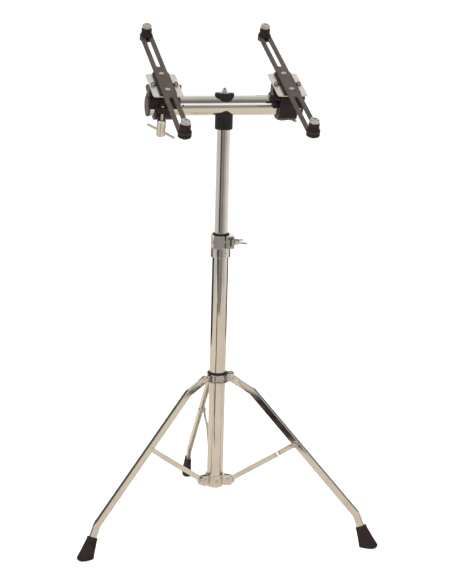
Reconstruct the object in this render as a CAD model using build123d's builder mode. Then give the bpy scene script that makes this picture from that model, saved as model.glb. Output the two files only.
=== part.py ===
"""Tripod stand with a cross tube and two clamp-on slotted arms that hold a percussion pad.

Millimetres, +Z up. The origin is on the floor, on the axis of the column. The cross tube runs
along X, and the front of the stand faces -Y. The arms tilt down towards the front.
"""

import os
from math import atan2, cos, degrees, radians, sin

from build123d import *

# --- column ---
LOWER_TUBE_R = 15.875
UPPER_TUBE_R = 12.7
TUBE_WALL = 1.6
LOWER_TUBE_Z = (84.0, 573.0)
UPPER_TUBE_Z = (330.0, 826.0)
RUNNING = 0.05  # radial clearance of a pin or tube in its hole

# --- tripod, given in the plane of a leg as (distance from the column axis, height) ---
LEG_ANGLES = {"rear": 88.3, "left": 208.3, "right": 328.3}
HUB_PIVOT = (32.0, 310.0)
COLLAR_PIVOT = (30.0, 100.0)
LEG_KNEE = (74.0, 289.0)
STAY_PIVOT = (165.0, 192.0)
LEG_BEND = (295.0, 65.0)
LEG_END = (313.5, 22.0)
LEG_WIDTH = 8.4
LEG_DEPTH = 14.0
LEG_WALL = 1.4
LEG_INNER = LEG_WIDTH - 2 * LEG_WALL
STAY_WIDTH = 7.0
STAY_DEPTH = 10.0
STAY_WALL = 1.6
STAY_EYE_R = 7.0
STAY_TAB = (4.4, 6.8)  # the tab lies on the leg's flank
STAY_BULGE = 8.0  # how far the channel has left its leg's middle plane where the tab begins
STAY_TAB_LENGTH = 34.0
STAY_EYE_HOLE_R = 5.2  # the open pivot of the fold, so its hole is wide
STAY_RIVET_R = 2.2
PIVOT_R = 3.0
FOOT_LENGTH = 50.0

# --- leg hub and lower collar ---
HUB_R = 20.0
HUB_Z = (301.0, 317.0)
HUB_BUSH_WALL = 1.6
LUG_THICKNESS = LEG_INNER - 0.4
COLLAR_R = 20.0
COLLAR_HALF_HEIGHT = 10.5
EAR_GAP = 7.4
EAR_WALL = 2.6

# --- height clamp ---
CLAMP_R = 19.3
CLAMP_Z = (573.0, 598.0)
SKIRT_BOTTOM = 553.5
BLOCK_X = (-19.3, 22.5)
BLOCK_FRONT = -24.5
BLOCK_BOLT_Y = -18.5
BLOCK_BOLT_Z = 586.0
CLAMP_BUSH_R = 14.8
SLIT_X = 3.4
SLIT_WIDTH = 2.0

# --- cross tube ---
BAR_Z = 850.0
BAR_R = 19.05
BAR_HALF = 147.0
END_CAP_R = 20.3
END_CAP_FLANGE = 5.0
SLEEVE_R = 17.2
SLEEVE_BOTTOM = 804.0
SADDLE_R = 18.8
SADDLE_Z = (859.0, 874.0)
BAR_BOLT_R = 3.0

# --- clamps and arms, given in the frame of one clamp: x along the cross tube, y up the slope
# of the arm, z square to the arm, with the origin on the cross tube's axis ---
SIDES = {"left": -1, "right": 1}
CLAMP_X = 120.0
TILT = 17.8
LINER_R = BAR_R + RUNNING
LINER_WALL = 1.4
LINER_HALF = 17.0
CLAMP_BORE_R = LINER_R + LINER_WALL + RUNNING
CHEEK_HALF = 30.0
JAW_HALF = 18.0
JAW_R = 26.8
HINGE_AT = (24.0, 27.0)
HINGE_R = 3.0
SCREW_Y = -32.0
SCREW_R = 3.0
LUG_TIP_Y = -40.0
JAW_LUG_Z = (-13.5, -3.0)
BODY_LUG_Z = (1.5, 13.0)
BOSS_R = 8.6
BOSS_Z = (-47.5, -13.7)
ROD_R = 2.5
ROD_HALF = 36.0
ROD_Z = -38.0
ROD_TURN = 54.6
CHEEK_R = 26.0
HINGE_KNUCKLE_R = 5.8
JAW_ARM_X = 21.2
SCREW_X = -6.5
LUG_HALF = 9.5
PLATE_Z = (41.3, 43.3)
PLATE_SIZE = (58.0, 98.0)
PLATE_BOLT_X = 21.7
SPACER_Z = (43.3, 47.5)
SPACER_SIZE = (32.0, 96.0)
ARM_Z = (47.5, 50.5)
ARM_WIDTH = 26.0
ARM_HALF = 221.5
ARM_SCREW_Y = 34.4
ARM_SCREW_R = 2.4
SLOT_WIDTH = 8.0
SLOT_Y = (66.0, 214.0)
POST_Y = 210.0
POST_R = 10.2
POST_FLARE_R = 12.8
POST_UNDER_Z = 41.2
CAP_Z = (67.0, 75.0)
CAP_R = 9.0
POST_SCREW_R = 3.0


def leg_plane(angle):
    """The upright plane of a leg: its x runs out from the column, its y runs up."""
    out = (cos(radians(angle)), sin(radians(angle)), 0)
    return Plane(origin=(0, 0, 0), x_dir=out, z_dir=(out[1], -out[0], 0))


def clamp_frame(side):
    """The frame of one clamp. The right clamp is the left one turned half a turn."""
    slope = radians(TILT)
    return Plane(
        origin=(side * CLAMP_X, 0, BAR_Z), x_dir=(-side, 0, 0), z_dir=(0, -sin(slope), cos(slope))
    )


def side_plane(frame, x=0.0):
    """A plane square to the cross tube: its x runs up the slope, its y square to the arm."""
    return Plane(origin=frame.from_local_coords((x, 0, 0)), x_dir=frame.y_dir, z_dir=frame.x_dir)


def save(piece, name):
    """Label a finished piece and write it."""
    piece.part.label = name
    export_step(piece.part, f"parts/{name}.step")


def ring(name, radius, bore, low, high):
    """A plain tube on the axis of the column."""
    with BuildPart() as piece:
        with BuildSketch(Plane.XY.offset(low)):
            Circle(radius)
            Circle(bore, mode=Mode.SUBTRACT)
        extrude(amount=high - low)
    save(piece, name)


# --- column -------------------------------------------------------------------------------


def column_tubes():
    ring("lower_tube", LOWER_TUBE_R, LOWER_TUBE_R - TUBE_WALL, *LOWER_TUBE_Z)
    ring("upper_tube", UPPER_TUBE_R, UPPER_TUBE_R - TUBE_WALL, *UPPER_TUBE_Z)


def lower_collar():
    low = COLLAR_PIVOT[1] - COLLAR_HALF_HEIGHT
    with BuildPart() as collar:
        with BuildSketch(Plane.XY.offset(low)):
            Circle(COLLAR_R)
        extrude(amount=2 * COLLAR_HALF_HEIGHT)
        for angle in LEG_ANGLES.values():
            with BuildSketch(leg_plane(angle)):
                with Locations(COLLAR_PIVOT):
                    Circle(COLLAR_HALF_HEIGHT)
                with Locations((COLLAR_PIVOT[0] / 2, COLLAR_PIVOT[1])):
                    Rectangle(COLLAR_PIVOT[0], 2 * COLLAR_HALF_HEIGHT)
            extrude(amount=EAR_GAP / 2 + EAR_WALL, both=True)
        for angle in LEG_ANGLES.values():
            with BuildSketch(leg_plane(angle)):
                with Locations((COLLAR_R + 25.4, COLLAR_PIVOT[1])):
                    Rectangle(50, 60)
            extrude(amount=EAR_GAP / 2, both=True, mode=Mode.SUBTRACT)
            with BuildSketch(leg_plane(angle)):
                with Locations(COLLAR_PIVOT):
                    Circle(PIVOT_R)
            extrude(amount=20, both=True, mode=Mode.SUBTRACT)
        with BuildSketch(Plane.XY.offset(low)):
            Circle(LOWER_TUBE_R + 0.02)
        extrude(amount=2 * COLLAR_HALF_HEIGHT, mode=Mode.SUBTRACT)
        with BuildSketch(leg_plane(268.3)):
            with Locations((COLLAR_R, COLLAR_PIVOT[1])):
                Rectangle(12, 5)
        extrude(amount=2.5, both=True, mode=Mode.SUBTRACT)
    save(collar, "lower_collar")


def collar_pins():
    half = EAR_GAP / 2 + EAR_WALL
    with BuildPart() as pins:
        for angle in LEG_ANGLES.values():
            plane = leg_plane(angle)
            with BuildSketch(plane):
                with Locations(COLLAR_PIVOT):
                    Circle(PIVOT_R)
            extrude(amount=half, both=True)
            for end in (-1, 1):
                with BuildSketch(plane.offset(end * half)):
                    with Locations(COLLAR_PIVOT):
                        Circle(PIVOT_R + 1.8)
                extrude(amount=end * 1.6)
    save(pins, "collar_pins")


def collar_screw():
    """The set screw that holds the collar on the tube, with a hexagon socket."""
    plane = leg_plane(268.3)
    face = Plane(origin=plane.from_local_coords((LOWER_TUBE_R + 0.3, COLLAR_PIVOT[1], 0)), z_dir=plane.x_dir)
    with BuildPart() as screw:
        with BuildSketch(face):
            Circle(2.4)
        extrude(amount=4.6)
        with BuildSketch(face.offset(4.6)):
            RegularPolygon(1.4, 6)
        extrude(amount=-2, mode=Mode.SUBTRACT)
    save(screw, "collar_screw")


def height_clamp():
    middle = sum(BLOCK_X) / 2
    width = BLOCK_X[1] - BLOCK_X[0]
    height = CLAMP_Z[1] - CLAMP_Z[0]
    with BuildPart() as clamp:
        with BuildSketch(Plane.XY.offset(SKIRT_BOTTOM)):
            Circle(CLAMP_R)
        extrude(amount=CLAMP_Z[1] - SKIRT_BOTTOM)
        with BuildSketch(Plane.XY.offset(CLAMP_Z[0])):
            with Locations((middle, (BLOCK_FRONT + 4) / 2)):
                Rectangle(width, 4 - BLOCK_FRONT)
        extrude(amount=height)
        with BuildSketch(Plane.XY.offset(SKIRT_BOTTOM)):
            Circle(LOWER_TUBE_R + 0.02)
        extrude(amount=CLAMP_Z[0] - SKIRT_BOTTOM, mode=Mode.SUBTRACT)
        with BuildSketch(Plane.XY.offset(CLAMP_Z[0])):
            Circle(CLAMP_BUSH_R)
        extrude(amount=height, mode=Mode.SUBTRACT)
        with BuildSketch(Plane.XY.offset(CLAMP_Z[0])):
            with Locations((SLIT_X, (BLOCK_FRONT - CLAMP_BUSH_R) / 2)):
                Rectangle(SLIT_WIDTH, CLAMP_BUSH_R - BLOCK_FRONT)
        extrude(amount=height, mode=Mode.SUBTRACT)
        with BuildSketch(Plane.XY.offset(SKIRT_BOTTOM)):
            with Locations((-9.0, -CLAMP_R + 2)):
                Rectangle(2, 8)
        extrude(amount=CLAMP_Z[0] - SKIRT_BOTTOM, mode=Mode.SUBTRACT)
        with BuildSketch(Plane.YZ.offset(BLOCK_X[0] - 1)):
            with Locations((BLOCK_BOLT_Y, BLOCK_BOLT_Z)):
                Circle(3.05)
        extrude(amount=width + 2, mode=Mode.SUBTRACT)
        with BuildSketch(Plane.YZ.offset(BLOCK_X[0])):
            with Locations((BLOCK_BOLT_Y, BLOCK_BOLT_Z)):
                Circle(4.6)
        extrude(amount=5, mode=Mode.SUBTRACT)
        with BuildSketch(Plane.XZ.offset(-BLOCK_FRONT)):
            with Locations((14.5, CLAMP_Z[1] - 5)):
                Rectangle(10, 3.2)
            with Locations((14.5, CLAMP_Z[1] - 10)):
                Rectangle(3.4, 12)
        extrude(amount=-2.2, mode=Mode.SUBTRACT)
    save(clamp, "height_clamp")


def clamp_bush():
    """The nylon liner that the upper tube slides in."""
    with BuildPart() as bush:
        with BuildSketch(Plane.XY.offset(CLAMP_Z[0])):
            Circle(CLAMP_BUSH_R - 0.05)
        extrude(amount=CLAMP_Z[1] - CLAMP_Z[0])
        with BuildSketch(Plane.XY.offset(CLAMP_Z[1])):
            Circle(CLAMP_BUSH_R + 2)
        extrude(amount=2)
        with BuildSketch(Plane.XY.offset(CLAMP_Z[0])):
            Circle(UPPER_TUBE_R + RUNNING)
        extrude(amount=40, mode=Mode.SUBTRACT)
    save(bush, "clamp_bush")


def clamp_bolt():
    """The bolt of the height clamp: a socket head at the left, a thread end at the right."""
    with BuildPart() as bolt:
        with BuildSketch(Plane.YZ.offset(BLOCK_X[0] + 0.6)):
            with Locations((BLOCK_BOLT_Y, BLOCK_BOLT_Z)):
                Circle(4.5)
        extrude(amount=4.4)
        with BuildSketch(Plane.YZ.offset(BLOCK_X[0] + 5)):
            with Locations((BLOCK_BOLT_Y, BLOCK_BOLT_Z)):
                Circle(2.95)
        extrude(amount=BLOCK_X[1] + 10 - BLOCK_X[0] - 5)
        with BuildSketch(Plane.YZ.offset(BLOCK_X[0] + 0.6)):
            with Locations((BLOCK_BOLT_Y, BLOCK_BOLT_Z)):
                RegularPolygon(2.9, 6)
        extrude(amount=2.6, mode=Mode.SUBTRACT)
    save(bolt, "clamp_bolt")


def wing_nut():
    """A wing nut on the clamp bolt, its two wings swept outwards."""
    start = BLOCK_X[1] + 0.4
    with BuildPart() as nut:
        with BuildSketch(Plane.YZ.offset(start)):
            with Locations((BLOCK_BOLT_Y, BLOCK_BOLT_Z)):
                Circle(6.5)
        extrude(amount=9, taper=6)
        for end in (-1, 1):
            with BuildSketch(Plane.XY.offset(BLOCK_BOLT_Z)):
                with BuildLine():
                    Polyline(
                        (start + 1, BLOCK_BOLT_Y + end * 4),
                        (start + 8, BLOCK_BOLT_Y + end * 4),
                        (start + 21, BLOCK_BOLT_Y + end * 14),
                        (start + 22, BLOCK_BOLT_Y + end * 19),
                        (start + 17, BLOCK_BOLT_Y + end * 20),
                        (start + 2, BLOCK_BOLT_Y + end * 7),
                        close=True,
                    )
                make_face()
            extrude(amount=1.7, both=True)
        with BuildSketch(Plane.YZ.offset(start)):
            with Locations((BLOCK_BOLT_Y, BLOCK_BOLT_Z)):
                Circle(3.0)
        extrude(amount=24, mode=Mode.SUBTRACT)
    save(nut, "wing_nut")


# --- tripod -------------------------------------------------------------------------------


def leg_hub():
    with BuildPart() as hub:
        with BuildSketch(Plane.XY.offset(HUB_Z[0])):
            Circle(HUB_R)
        extrude(amount=HUB_Z[1] - HUB_Z[0])
        with BuildSketch(Plane.XY.offset(HUB_Z[0])):
            Circle(HUB_R + 2.2)
        extrude(amount=2.4)
        for angle in LEG_ANGLES.values():
            with BuildSketch(leg_plane(angle)):
                with Locations(HUB_PIVOT):
                    Circle(6.5)
                with Locations((HUB_PIVOT[0] / 2, HUB_PIVOT[1])):
                    Rectangle(HUB_PIVOT[0], 13)
            extrude(amount=LUG_THICKNESS / 2, both=True)
            with BuildSketch(leg_plane(angle)):
                with Locations(HUB_PIVOT):
                    Circle(PIVOT_R)
            extrude(amount=10, both=True, mode=Mode.SUBTRACT)
        with BuildSketch(Plane.XY.offset(HUB_Z[0] - 3)):
            Circle(LOWER_TUBE_R + RUNNING + HUB_BUSH_WALL)
        extrude(amount=30, mode=Mode.SUBTRACT)
        with BuildSketch(hub_screw_face()):
            Circle(2.6)
        extrude(amount=12, mode=Mode.SUBTRACT)
    save(hub, "leg_hub")


def hub_bush():
    """The nylon liner of the hub, with a flange that shows on top."""
    outer = LOWER_TUBE_R + RUNNING + HUB_BUSH_WALL - 0.02
    with BuildPart() as bush:
        with BuildSketch(Plane.XY.offset(HUB_Z[0])):
            Circle(outer)
        extrude(amount=HUB_Z[1] - HUB_Z[0])
        with BuildSketch(Plane.XY.offset(HUB_Z[1])):
            Circle(HUB_R + 0.3)
        extrude(amount=3.6)
        fillet(bush.faces().sort_by(Axis.Z)[-1].edges(), radius=1.2)
        with BuildSketch(Plane.XY.offset(HUB_Z[0])):
            Circle(LOWER_TUBE_R + RUNNING)
        extrude(amount=30, mode=Mode.SUBTRACT)
        with BuildSketch(hub_screw_face()):
            Circle(2.6)
        extrude(amount=12, mode=Mode.SUBTRACT)
    save(bush, "hub_bush")


def hub_screw_face():
    """The plane on the lower tube's skin that the hub's thumb screw points at."""
    plane = leg_plane(LEG_ANGLES["rear"] - 60)
    start = LOWER_TUBE_R - 0.1
    return Plane(origin=plane.from_local_coords((start, 310, 0)), z_dir=plane.x_dir)


def hub_thumb_screw():
    face = hub_screw_face()
    with BuildPart() as screw:
        with BuildSketch(face.offset(0.3)):
            Circle(2.5)
        extrude(amount=12)
        with BuildSketch(face.offset(12)):
            Circle(7)
            with PolarLocations(7, 12):
                Circle(0.9, mode=Mode.SUBTRACT)
        extrude(amount=11)
    save(screw, "hub_thumb_screw")


def hub_rivets():
    half = LEG_WIDTH / 2 + 0.15
    with BuildPart() as rivets:
        for angle in LEG_ANGLES.values():
            plane = leg_plane(angle)
            with BuildSketch(plane):
                with Locations(HUB_PIVOT):
                    Circle(PIVOT_R)
            extrude(amount=half, both=True)
            for end in (-1, 1):
                with BuildSketch(plane.offset(end * half)):
                    with Locations(HUB_PIVOT):
                        Circle(PIVOT_R + 2)
                extrude(amount=end * 1.8)
    save(rivets, "hub_rivets")


def leg(name, plane):
    """A pressed channel, open towards the column, bent at the knee and above the foot."""
    with BuildPart() as piece:
        with BuildLine(plane) as route:
            FilletPolyline(HUB_PIVOT, LEG_KNEE, LEG_BEND, LEG_END, radius=22)
        start = route.line @ 0
        section = Plane(origin=start, x_dir=plane.z_dir, z_dir=route.line % 0)
        with BuildSketch(section):
            RectangleRounded(LEG_WIDTH, LEG_DEPTH, 1.4)
            with Locations((0, LEG_WALL)):
                Rectangle(LEG_INNER, LEG_DEPTH, mode=Mode.SUBTRACT)
        sweep()
        with BuildSketch(plane):
            with Locations(HUB_PIVOT):
                Circle(LEG_DEPTH / 2)
        extrude(amount=LEG_WIDTH / 2, both=True)
        with BuildSketch(plane):
            with Locations(HUB_PIVOT):
                Circle(LEG_DEPTH)
        extrude(amount=LEG_INNER / 2, both=True, mode=Mode.SUBTRACT)
        for pivot, radius in ((HUB_PIVOT, PIVOT_R + RUNNING), (STAY_PIVOT, STAY_RIVET_R)):
            with BuildSketch(plane):
                with Locations(pivot):
                    Circle(radius)
            extrude(amount=LEG_WIDTH, both=True, mode=Mode.SUBTRACT)
    save(piece, f"leg_{name}")


def stay_rivet(name, plane):
    """The rivet through the leg and the tab of its stay, with a washer under its outer head."""
    inner, outer = -LEG_WIDTH / 2, STAY_TAB[1] + 0.2
    with BuildPart() as rivet:
        with BuildSketch(plane.offset(inner)):
            with Locations(STAY_PIVOT):
                Circle(STAY_RIVET_R)
        extrude(amount=outer - inner)
        for at, radius, height in ((inner, 4.2, -1.5), (outer, 6.4, 1.0), (outer + 1, 4.2, 1.3)):
            with BuildSketch(plane.offset(at)):
                with Locations(STAY_PIVOT):
                    Circle(radius)
            extrude(amount=height)
    save(rivet, f"stay_rivet_{name}")


def stay_section(plane, along, at, centre):
    """The plane across a stay, at a distance from the collar pin and from the middle plane."""
    origin = plane.from_local_coords((*COLLAR_PIVOT, centre)) + along * at
    return Plane(origin=origin, x_dir=plane.z_dir, z_dir=along)


def stay(name, plane):
    """A channel that leans out from the collar and is cranked back to a tab on the leg's flank."""
    run = Vector(*STAY_PIVOT) - Vector(*COLLAR_PIVOT)
    length = run.length
    turn = degrees(atan2(run.Y, run.X))
    along = plane.from_local_coords((run.X, run.Y, 0)).normalized()
    tab_start = length - STAY_TAB_LENGTH
    lean_start, lean_end = 14, tab_start - 10
    slant = STAY_BULGE / (lean_end - lean_start)
    channel = (STAY_WIDTH, STAY_DEPTH)
    tab = (STAY_TAB[1] - STAY_TAB[0], STAY_DEPTH)
    with BuildPart() as piece:
        with BuildSketch(plane):
            with Locations(Location((*COLLAR_PIVOT, 0), (0, 0, turn))):
                with Locations((lean_start / 2, 0)):
                    Rectangle(lean_start, STAY_DEPTH)
                Circle(8.6)
        extrude(amount=STAY_WIDTH / 2, both=True)
        for first, last in (
            ((lean_start, 0, channel), (lean_end, STAY_BULGE, channel)),
            ((lean_end, STAY_BULGE, channel), (tab_start, sum(STAY_TAB) / 2, tab)),
        ):
            for at, centre, size in (first, last):
                with BuildSketch(stay_section(plane, along, at, centre)):
                    Rectangle(*size)
            loft()
        with BuildSketch(plane.offset(STAY_TAB[0])):
            with Locations(Location((*COLLAR_PIVOT, 0), (0, 0, turn))):
                with Locations((length - STAY_TAB_LENGTH / 2, 0)):
                    Rectangle(STAY_TAB_LENGTH, STAY_DEPTH)
                with Locations((length, 0)):
                    Circle(STAY_EYE_R)
        extrude(amount=STAY_TAB[1] - STAY_TAB[0])
        for at in (lean_start + 10, lean_end - 6):
            with BuildSketch(stay_section(plane, along, at, slant * (at - lean_start))):
                with Locations((0, STAY_WALL)):
                    Rectangle(STAY_WIDTH - 2 * STAY_WALL, STAY_DEPTH)
        loft(mode=Mode.SUBTRACT)
        for pivot, radius in ((COLLAR_PIVOT, PIVOT_R + RUNNING), (STAY_PIVOT, STAY_EYE_HOLE_R)):
            with BuildSketch(plane):
                with Locations(pivot):
                    Circle(radius)
            extrude(amount=STAY_TAB[1] + 2, both=True, mode=Mode.SUBTRACT)
    save(piece, f"stay_{name}")


def foot(name, plane):
    """A rubber boot on the end of the leg, flat where it meets the floor."""
    slope = Vector(*LEG_END) - Vector(*LEG_BEND)
    along = slope.normalized()
    top = Vector(*LEG_END) - along * 22
    base = Plane(
        origin=plane.from_local_coords((top.X, top.Y, 0)),
        x_dir=plane.z_dir,
        z_dir=plane.from_local_coords((along.X, along.Y, 0)),
    )
    with BuildPart() as boot:
        with BuildSketch(base):
            RectangleRounded(LEG_WIDTH + 4.1, LEG_DEPTH + 8, 5)
        with BuildSketch(base.offset(FOOT_LENGTH * 0.6)):
            RectangleRounded(16, 30, 7)
        with BuildSketch(base.offset(FOOT_LENGTH)):
            RectangleRounded(18, 39, 8.5)
        loft()
        fillet(boot.faces().sort_by(Axis.Z)[0].edges(), radius=4)
        with BuildSketch(base):
            Rectangle(LEG_WIDTH + 0.04, LEG_DEPTH + 0.04)
        extrude(amount=22, mode=Mode.SUBTRACT)
        split(bisect_by=Plane.XY, keep=Keep.TOP)
    save(boot, f"foot_{name}")


# --- cross tube ---------------------------------------------------------------------------


def cross_tube():
    with BuildPart() as tube:
        with BuildSketch(Plane.YZ.offset(-BAR_HALF)):
            with Locations((0, BAR_Z)):
                Circle(BAR_R)
                Circle(BAR_R - TUBE_WALL, mode=Mode.SUBTRACT)
        extrude(amount=2 * BAR_HALF)
        with BuildSketch(Plane.XY.offset(BAR_Z - BAR_R - 2)):
            Circle(BAR_BOLT_R + 0.2)
        extrude(amount=2 * BAR_R + 4, mode=Mode.SUBTRACT)
        with BuildSketch(Plane.XZ):
            with Locations((-84, BAR_Z + 2.5)):
                Circle(1.8)
        extrude(amount=BAR_R + 2, mode=Mode.SUBTRACT)
    save(tube, "cross_tube")


def bar_outline(clearance=0.02):
    """The cross tube's outline at its left end, with a little room round it."""
    with BuildSketch(Plane.YZ.offset(-BAR_HALF)) as outline:
        with Locations((0, BAR_Z)):
            Circle(BAR_R + clearance)
    return outline.sketch


def bar_sleeve():
    with BuildPart() as sleeve:
        with BuildSketch(Plane.XY.offset(SLEEVE_BOTTOM)):
            Circle(SLEEVE_R)
        extrude(amount=BAR_Z - SLEEVE_BOTTOM)
        extrude(bar_outline(), amount=2 * BAR_HALF, mode=Mode.SUBTRACT)
        with BuildSketch(Plane.XY.offset(SLEEVE_BOTTOM)):
            Circle(UPPER_TUBE_R + RUNNING)
        extrude(amount=UPPER_TUBE_Z[1] - SLEEVE_BOTTOM, mode=Mode.SUBTRACT)
        with BuildSketch(Plane.XY.offset(UPPER_TUBE_Z[1])):
            Circle(BAR_BOLT_R + 0.05)
        extrude(amount=20, mode=Mode.SUBTRACT)
    save(sleeve, "bar_sleeve")


def saddle_cap():
    with BuildPart() as saddle:
        with BuildSketch(Plane.XY.offset(SADDLE_Z[0])):
            Circle(SADDLE_R)
        extrude(amount=SADDLE_Z[1] - SADDLE_Z[0])
        chamfer(saddle.faces().sort_by(Axis.Z)[-1].edges(), length=1.2)
        extrude(bar_outline(), amount=2 * BAR_HALF, mode=Mode.SUBTRACT)
        with BuildSketch(Plane.XY.offset(BAR_Z)):
            Circle(BAR_BOLT_R + 0.2)
        extrude(amount=40, mode=Mode.SUBTRACT)
    save(saddle, "saddle_cap")


def bar_bolt():
    """The bolt down through the saddle and the cross tube, with its washer and its nut."""
    top = SADDLE_Z[1]
    with BuildPart() as bolt:
        with BuildSketch(Plane.XY.offset(UPPER_TUBE_Z[1] + 1)):
            Circle(BAR_BOLT_R)
        extrude(amount=884 - UPPER_TUBE_Z[1] - 1)
        chamfer(bolt.faces().sort_by(Axis.Z)[-1].edges(), length=0.6)
    with BuildPart() as washer:
        with BuildSketch(Plane.XY.offset(top)):
            Circle(14)
            Circle(BAR_BOLT_R + 0.2, mode=Mode.SUBTRACT)
        extrude(amount=1.6)
    with BuildPart() as nut:
        with BuildSketch(Plane.XY.offset(top + 1.6)):
            RegularPolygon(6, 6)
            Circle(BAR_BOLT_R + 0.02, mode=Mode.SUBTRACT)
        extrude(amount=4)
    group = Compound(label="bar_bolt", children=[bolt.part, washer.part, nut.part])
    export_step(group, "parts/bar_bolt.step")


def bar_end_caps():
    with BuildPart() as caps:
        for end in (-1, 1):
            with BuildSketch(Plane.YZ.offset(end * BAR_HALF)):
                with Locations((0, BAR_Z)):
                    Circle(END_CAP_R)
            extrude(amount=end * END_CAP_FLANGE)
            with BuildSketch(Plane.YZ.offset(end * (BAR_HALF - 12))):
                with Locations((0, BAR_Z)):
                    Circle(BAR_R - TUBE_WALL - 0.05)
            extrude(amount=end * 12)
        rims = caps.edges().filter_by(GeomType.CIRCLE).group_by(Axis.X)
        fillet(rims[0] + rims[-1], radius=1.5)
    save(caps, "bar_end_caps")


# --- clamps -------------------------------------------------------------------------------


def clamp_liner(name, frame):
    """The nylon sleeve between a clamp and the cross tube, split at the bottom."""
    with BuildPart() as liner:
        with BuildSketch(side_plane(frame)):
            Circle(LINER_R + LINER_WALL)
            Circle(LINER_R, mode=Mode.SUBTRACT)
            with Locations((0, -LINER_R)):
                Rectangle(3, 6, mode=Mode.SUBTRACT)
        extrude(amount=LINER_HALF, both=True)
    save(liner, f"clamp_liner_{name}")


def clamp_body(name, frame):
    """The upper half of the clamp: two cheeks over the tube, and the upper lug of the screw."""
    side = side_plane(frame)
    with BuildPart() as body:
        with BuildSketch(side):
            Circle(CHEEK_R)
            with Locations((0, 5 - CHEEK_R)):
                Rectangle(2 * CHEEK_R, 2 * CHEEK_R, mode=Mode.SUBTRACT)
            with Locations((0, PLATE_Z[0] - 10)):
                Rectangle(20, 20)
            with Locations(HINGE_AT):
                Circle(HINGE_KNUCKLE_R)
            with Locations((HINGE_AT[0] / 2, HINGE_AT[1] + 1)):
                Rectangle(HINGE_AT[0], 11)
        extrude(amount=CHEEK_HALF, both=True)
        with BuildSketch(side_plane(frame, SCREW_X)):
            with Locations(((LUG_TIP_Y - 16) / 2, sum(BODY_LUG_Z) / 2)):
                Rectangle(-16 - LUG_TIP_Y, BODY_LUG_Z[1] - BODY_LUG_Z[0])
        extrude(amount=LUG_HALF, both=True)
        with BuildSketch(side):
            with Locations(HINGE_AT):
                Circle(HINGE_KNUCKLE_R + 0.5)
            with Locations((JAW_ARM_X - 0.4 + 10, 11)):
                Rectangle(20, 32)
        extrude(amount=JAW_HALF + 0.3, both=True, mode=Mode.SUBTRACT)
        with BuildSketch(side):
            Circle(CLAMP_BORE_R)
            with Locations(HINGE_AT):
                Circle(HINGE_R)
        extrude(amount=CHEEK_HALF, both=True, mode=Mode.SUBTRACT)
        with BuildSketch(frame.offset(BODY_LUG_Z[0])):
            with Locations((SCREW_X, SCREW_Y)):
                Circle(SCREW_R + RUNNING)
        extrude(amount=20, mode=Mode.SUBTRACT)
        with BuildSketch(frame.offset(PLATE_Z[0])):
            with Locations((-PLATE_BOLT_X, 0), (PLATE_BOLT_X, 0)):
                Circle(2.5)
        extrude(amount=-12, mode=Mode.SUBTRACT)
    save(body, f"clamp_body_{name}")


def clamp_jaw(name, frame):
    """The lower half: it wraps the tube from the hinge round to the screw's lower lug."""
    side = side_plane(frame)
    with BuildPart() as jaw:
        with BuildSketch(side):
            Circle(JAW_R)
            with Locations((0, JAW_R - 0.2)):
                Rectangle(2 * JAW_R, 2 * JAW_R, mode=Mode.SUBTRACT)
            with BuildLine():
                Polyline(
                    (JAW_ARM_X, -2),
                    (JAW_ARM_X, HINGE_AT[1]),
                    (HINGE_AT[0] + HINGE_KNUCKLE_R, HINGE_AT[1]),
                    (31, 14),
                    (31, -13),
                    (22, -22),
                    (14, -20),
                    close=True,
                )
            make_face()
            with Locations(HINGE_AT):
                Circle(HINGE_KNUCKLE_R)
        extrude(amount=JAW_HALF, both=True)
        with BuildSketch(side_plane(frame, SCREW_X)):
            with Locations(((LUG_TIP_Y - 14) / 2, sum(JAW_LUG_Z) / 2)):
                Rectangle(-14 - LUG_TIP_Y, JAW_LUG_Z[1] - JAW_LUG_Z[0])
        extrude(amount=LUG_HALF, both=True)
        with BuildSketch(side):
            Circle(CLAMP_BORE_R)
            with Locations(HINGE_AT):
                Circle(HINGE_R)
        extrude(amount=JAW_HALF, both=True, mode=Mode.SUBTRACT)
        with BuildSketch(frame.offset(JAW_LUG_Z[0])):
            with Locations((SCREW_X, SCREW_Y)):
                Circle(SCREW_R + RUNNING)
        extrude(amount=12, mode=Mode.SUBTRACT)
    save(jaw, f"clamp_jaw_{name}")


def hinge_pin(name, frame):
    """The pin of the jaw, with a head that stands out at its inner end."""
    with BuildPart() as pin:
        with BuildSketch(side_plane(frame, -CHEEK_HALF)):
            with Locations(HINGE_AT):
                Circle(HINGE_R - 0.02)
        extrude(amount=2 * CHEEK_HALF)
        with BuildSketch(side_plane(frame, CHEEK_HALF)):
            with Locations(HINGE_AT):
                Circle(5.2)
        extrude(amount=8)
        chamfer(pin.faces().sort_by(Axis(frame.origin, frame.x_dir))[-1].edges(), length=1)
    save(pin, f"hinge_pin_{name}")


def clamp_screw(name, frame):
    """The thread and its chromed boss, cross-drilled for the sliding rod."""
    with BuildPart() as screw:
        with BuildSketch(frame.offset(BOSS_Z[0])):
            with Locations((SCREW_X, SCREW_Y)):
                Circle(BOSS_R)
        extrude(amount=BOSS_Z[1] - BOSS_Z[0])
        chamfer(screw.faces().sort_by(Axis(frame.origin, frame.z_dir))[0].edges(), length=1.2)
        with BuildSketch(frame.offset(BOSS_Z[1])):
            with Locations((SCREW_X, SCREW_Y)):
                Circle(SCREW_R)
        extrude(amount=BODY_LUG_Z[1] + 3 - BOSS_Z[1])
        with BuildSketch(rod_plane(frame)):
            Circle(ROD_R + RUNNING)
        extrude(amount=BOSS_R + 2, both=True, mode=Mode.SUBTRACT)
    save(screw, f"clamp_screw_{name}")


def rod_plane(frame):
    """The plane square to the sliding rod, at the middle of the boss."""
    turn = radians(ROD_TURN)
    along = frame.from_local_coords((cos(turn), -sin(turn), 0)) - frame.origin
    return Plane(origin=frame.from_local_coords((SCREW_X, SCREW_Y, ROD_Z)), z_dir=along)


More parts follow.
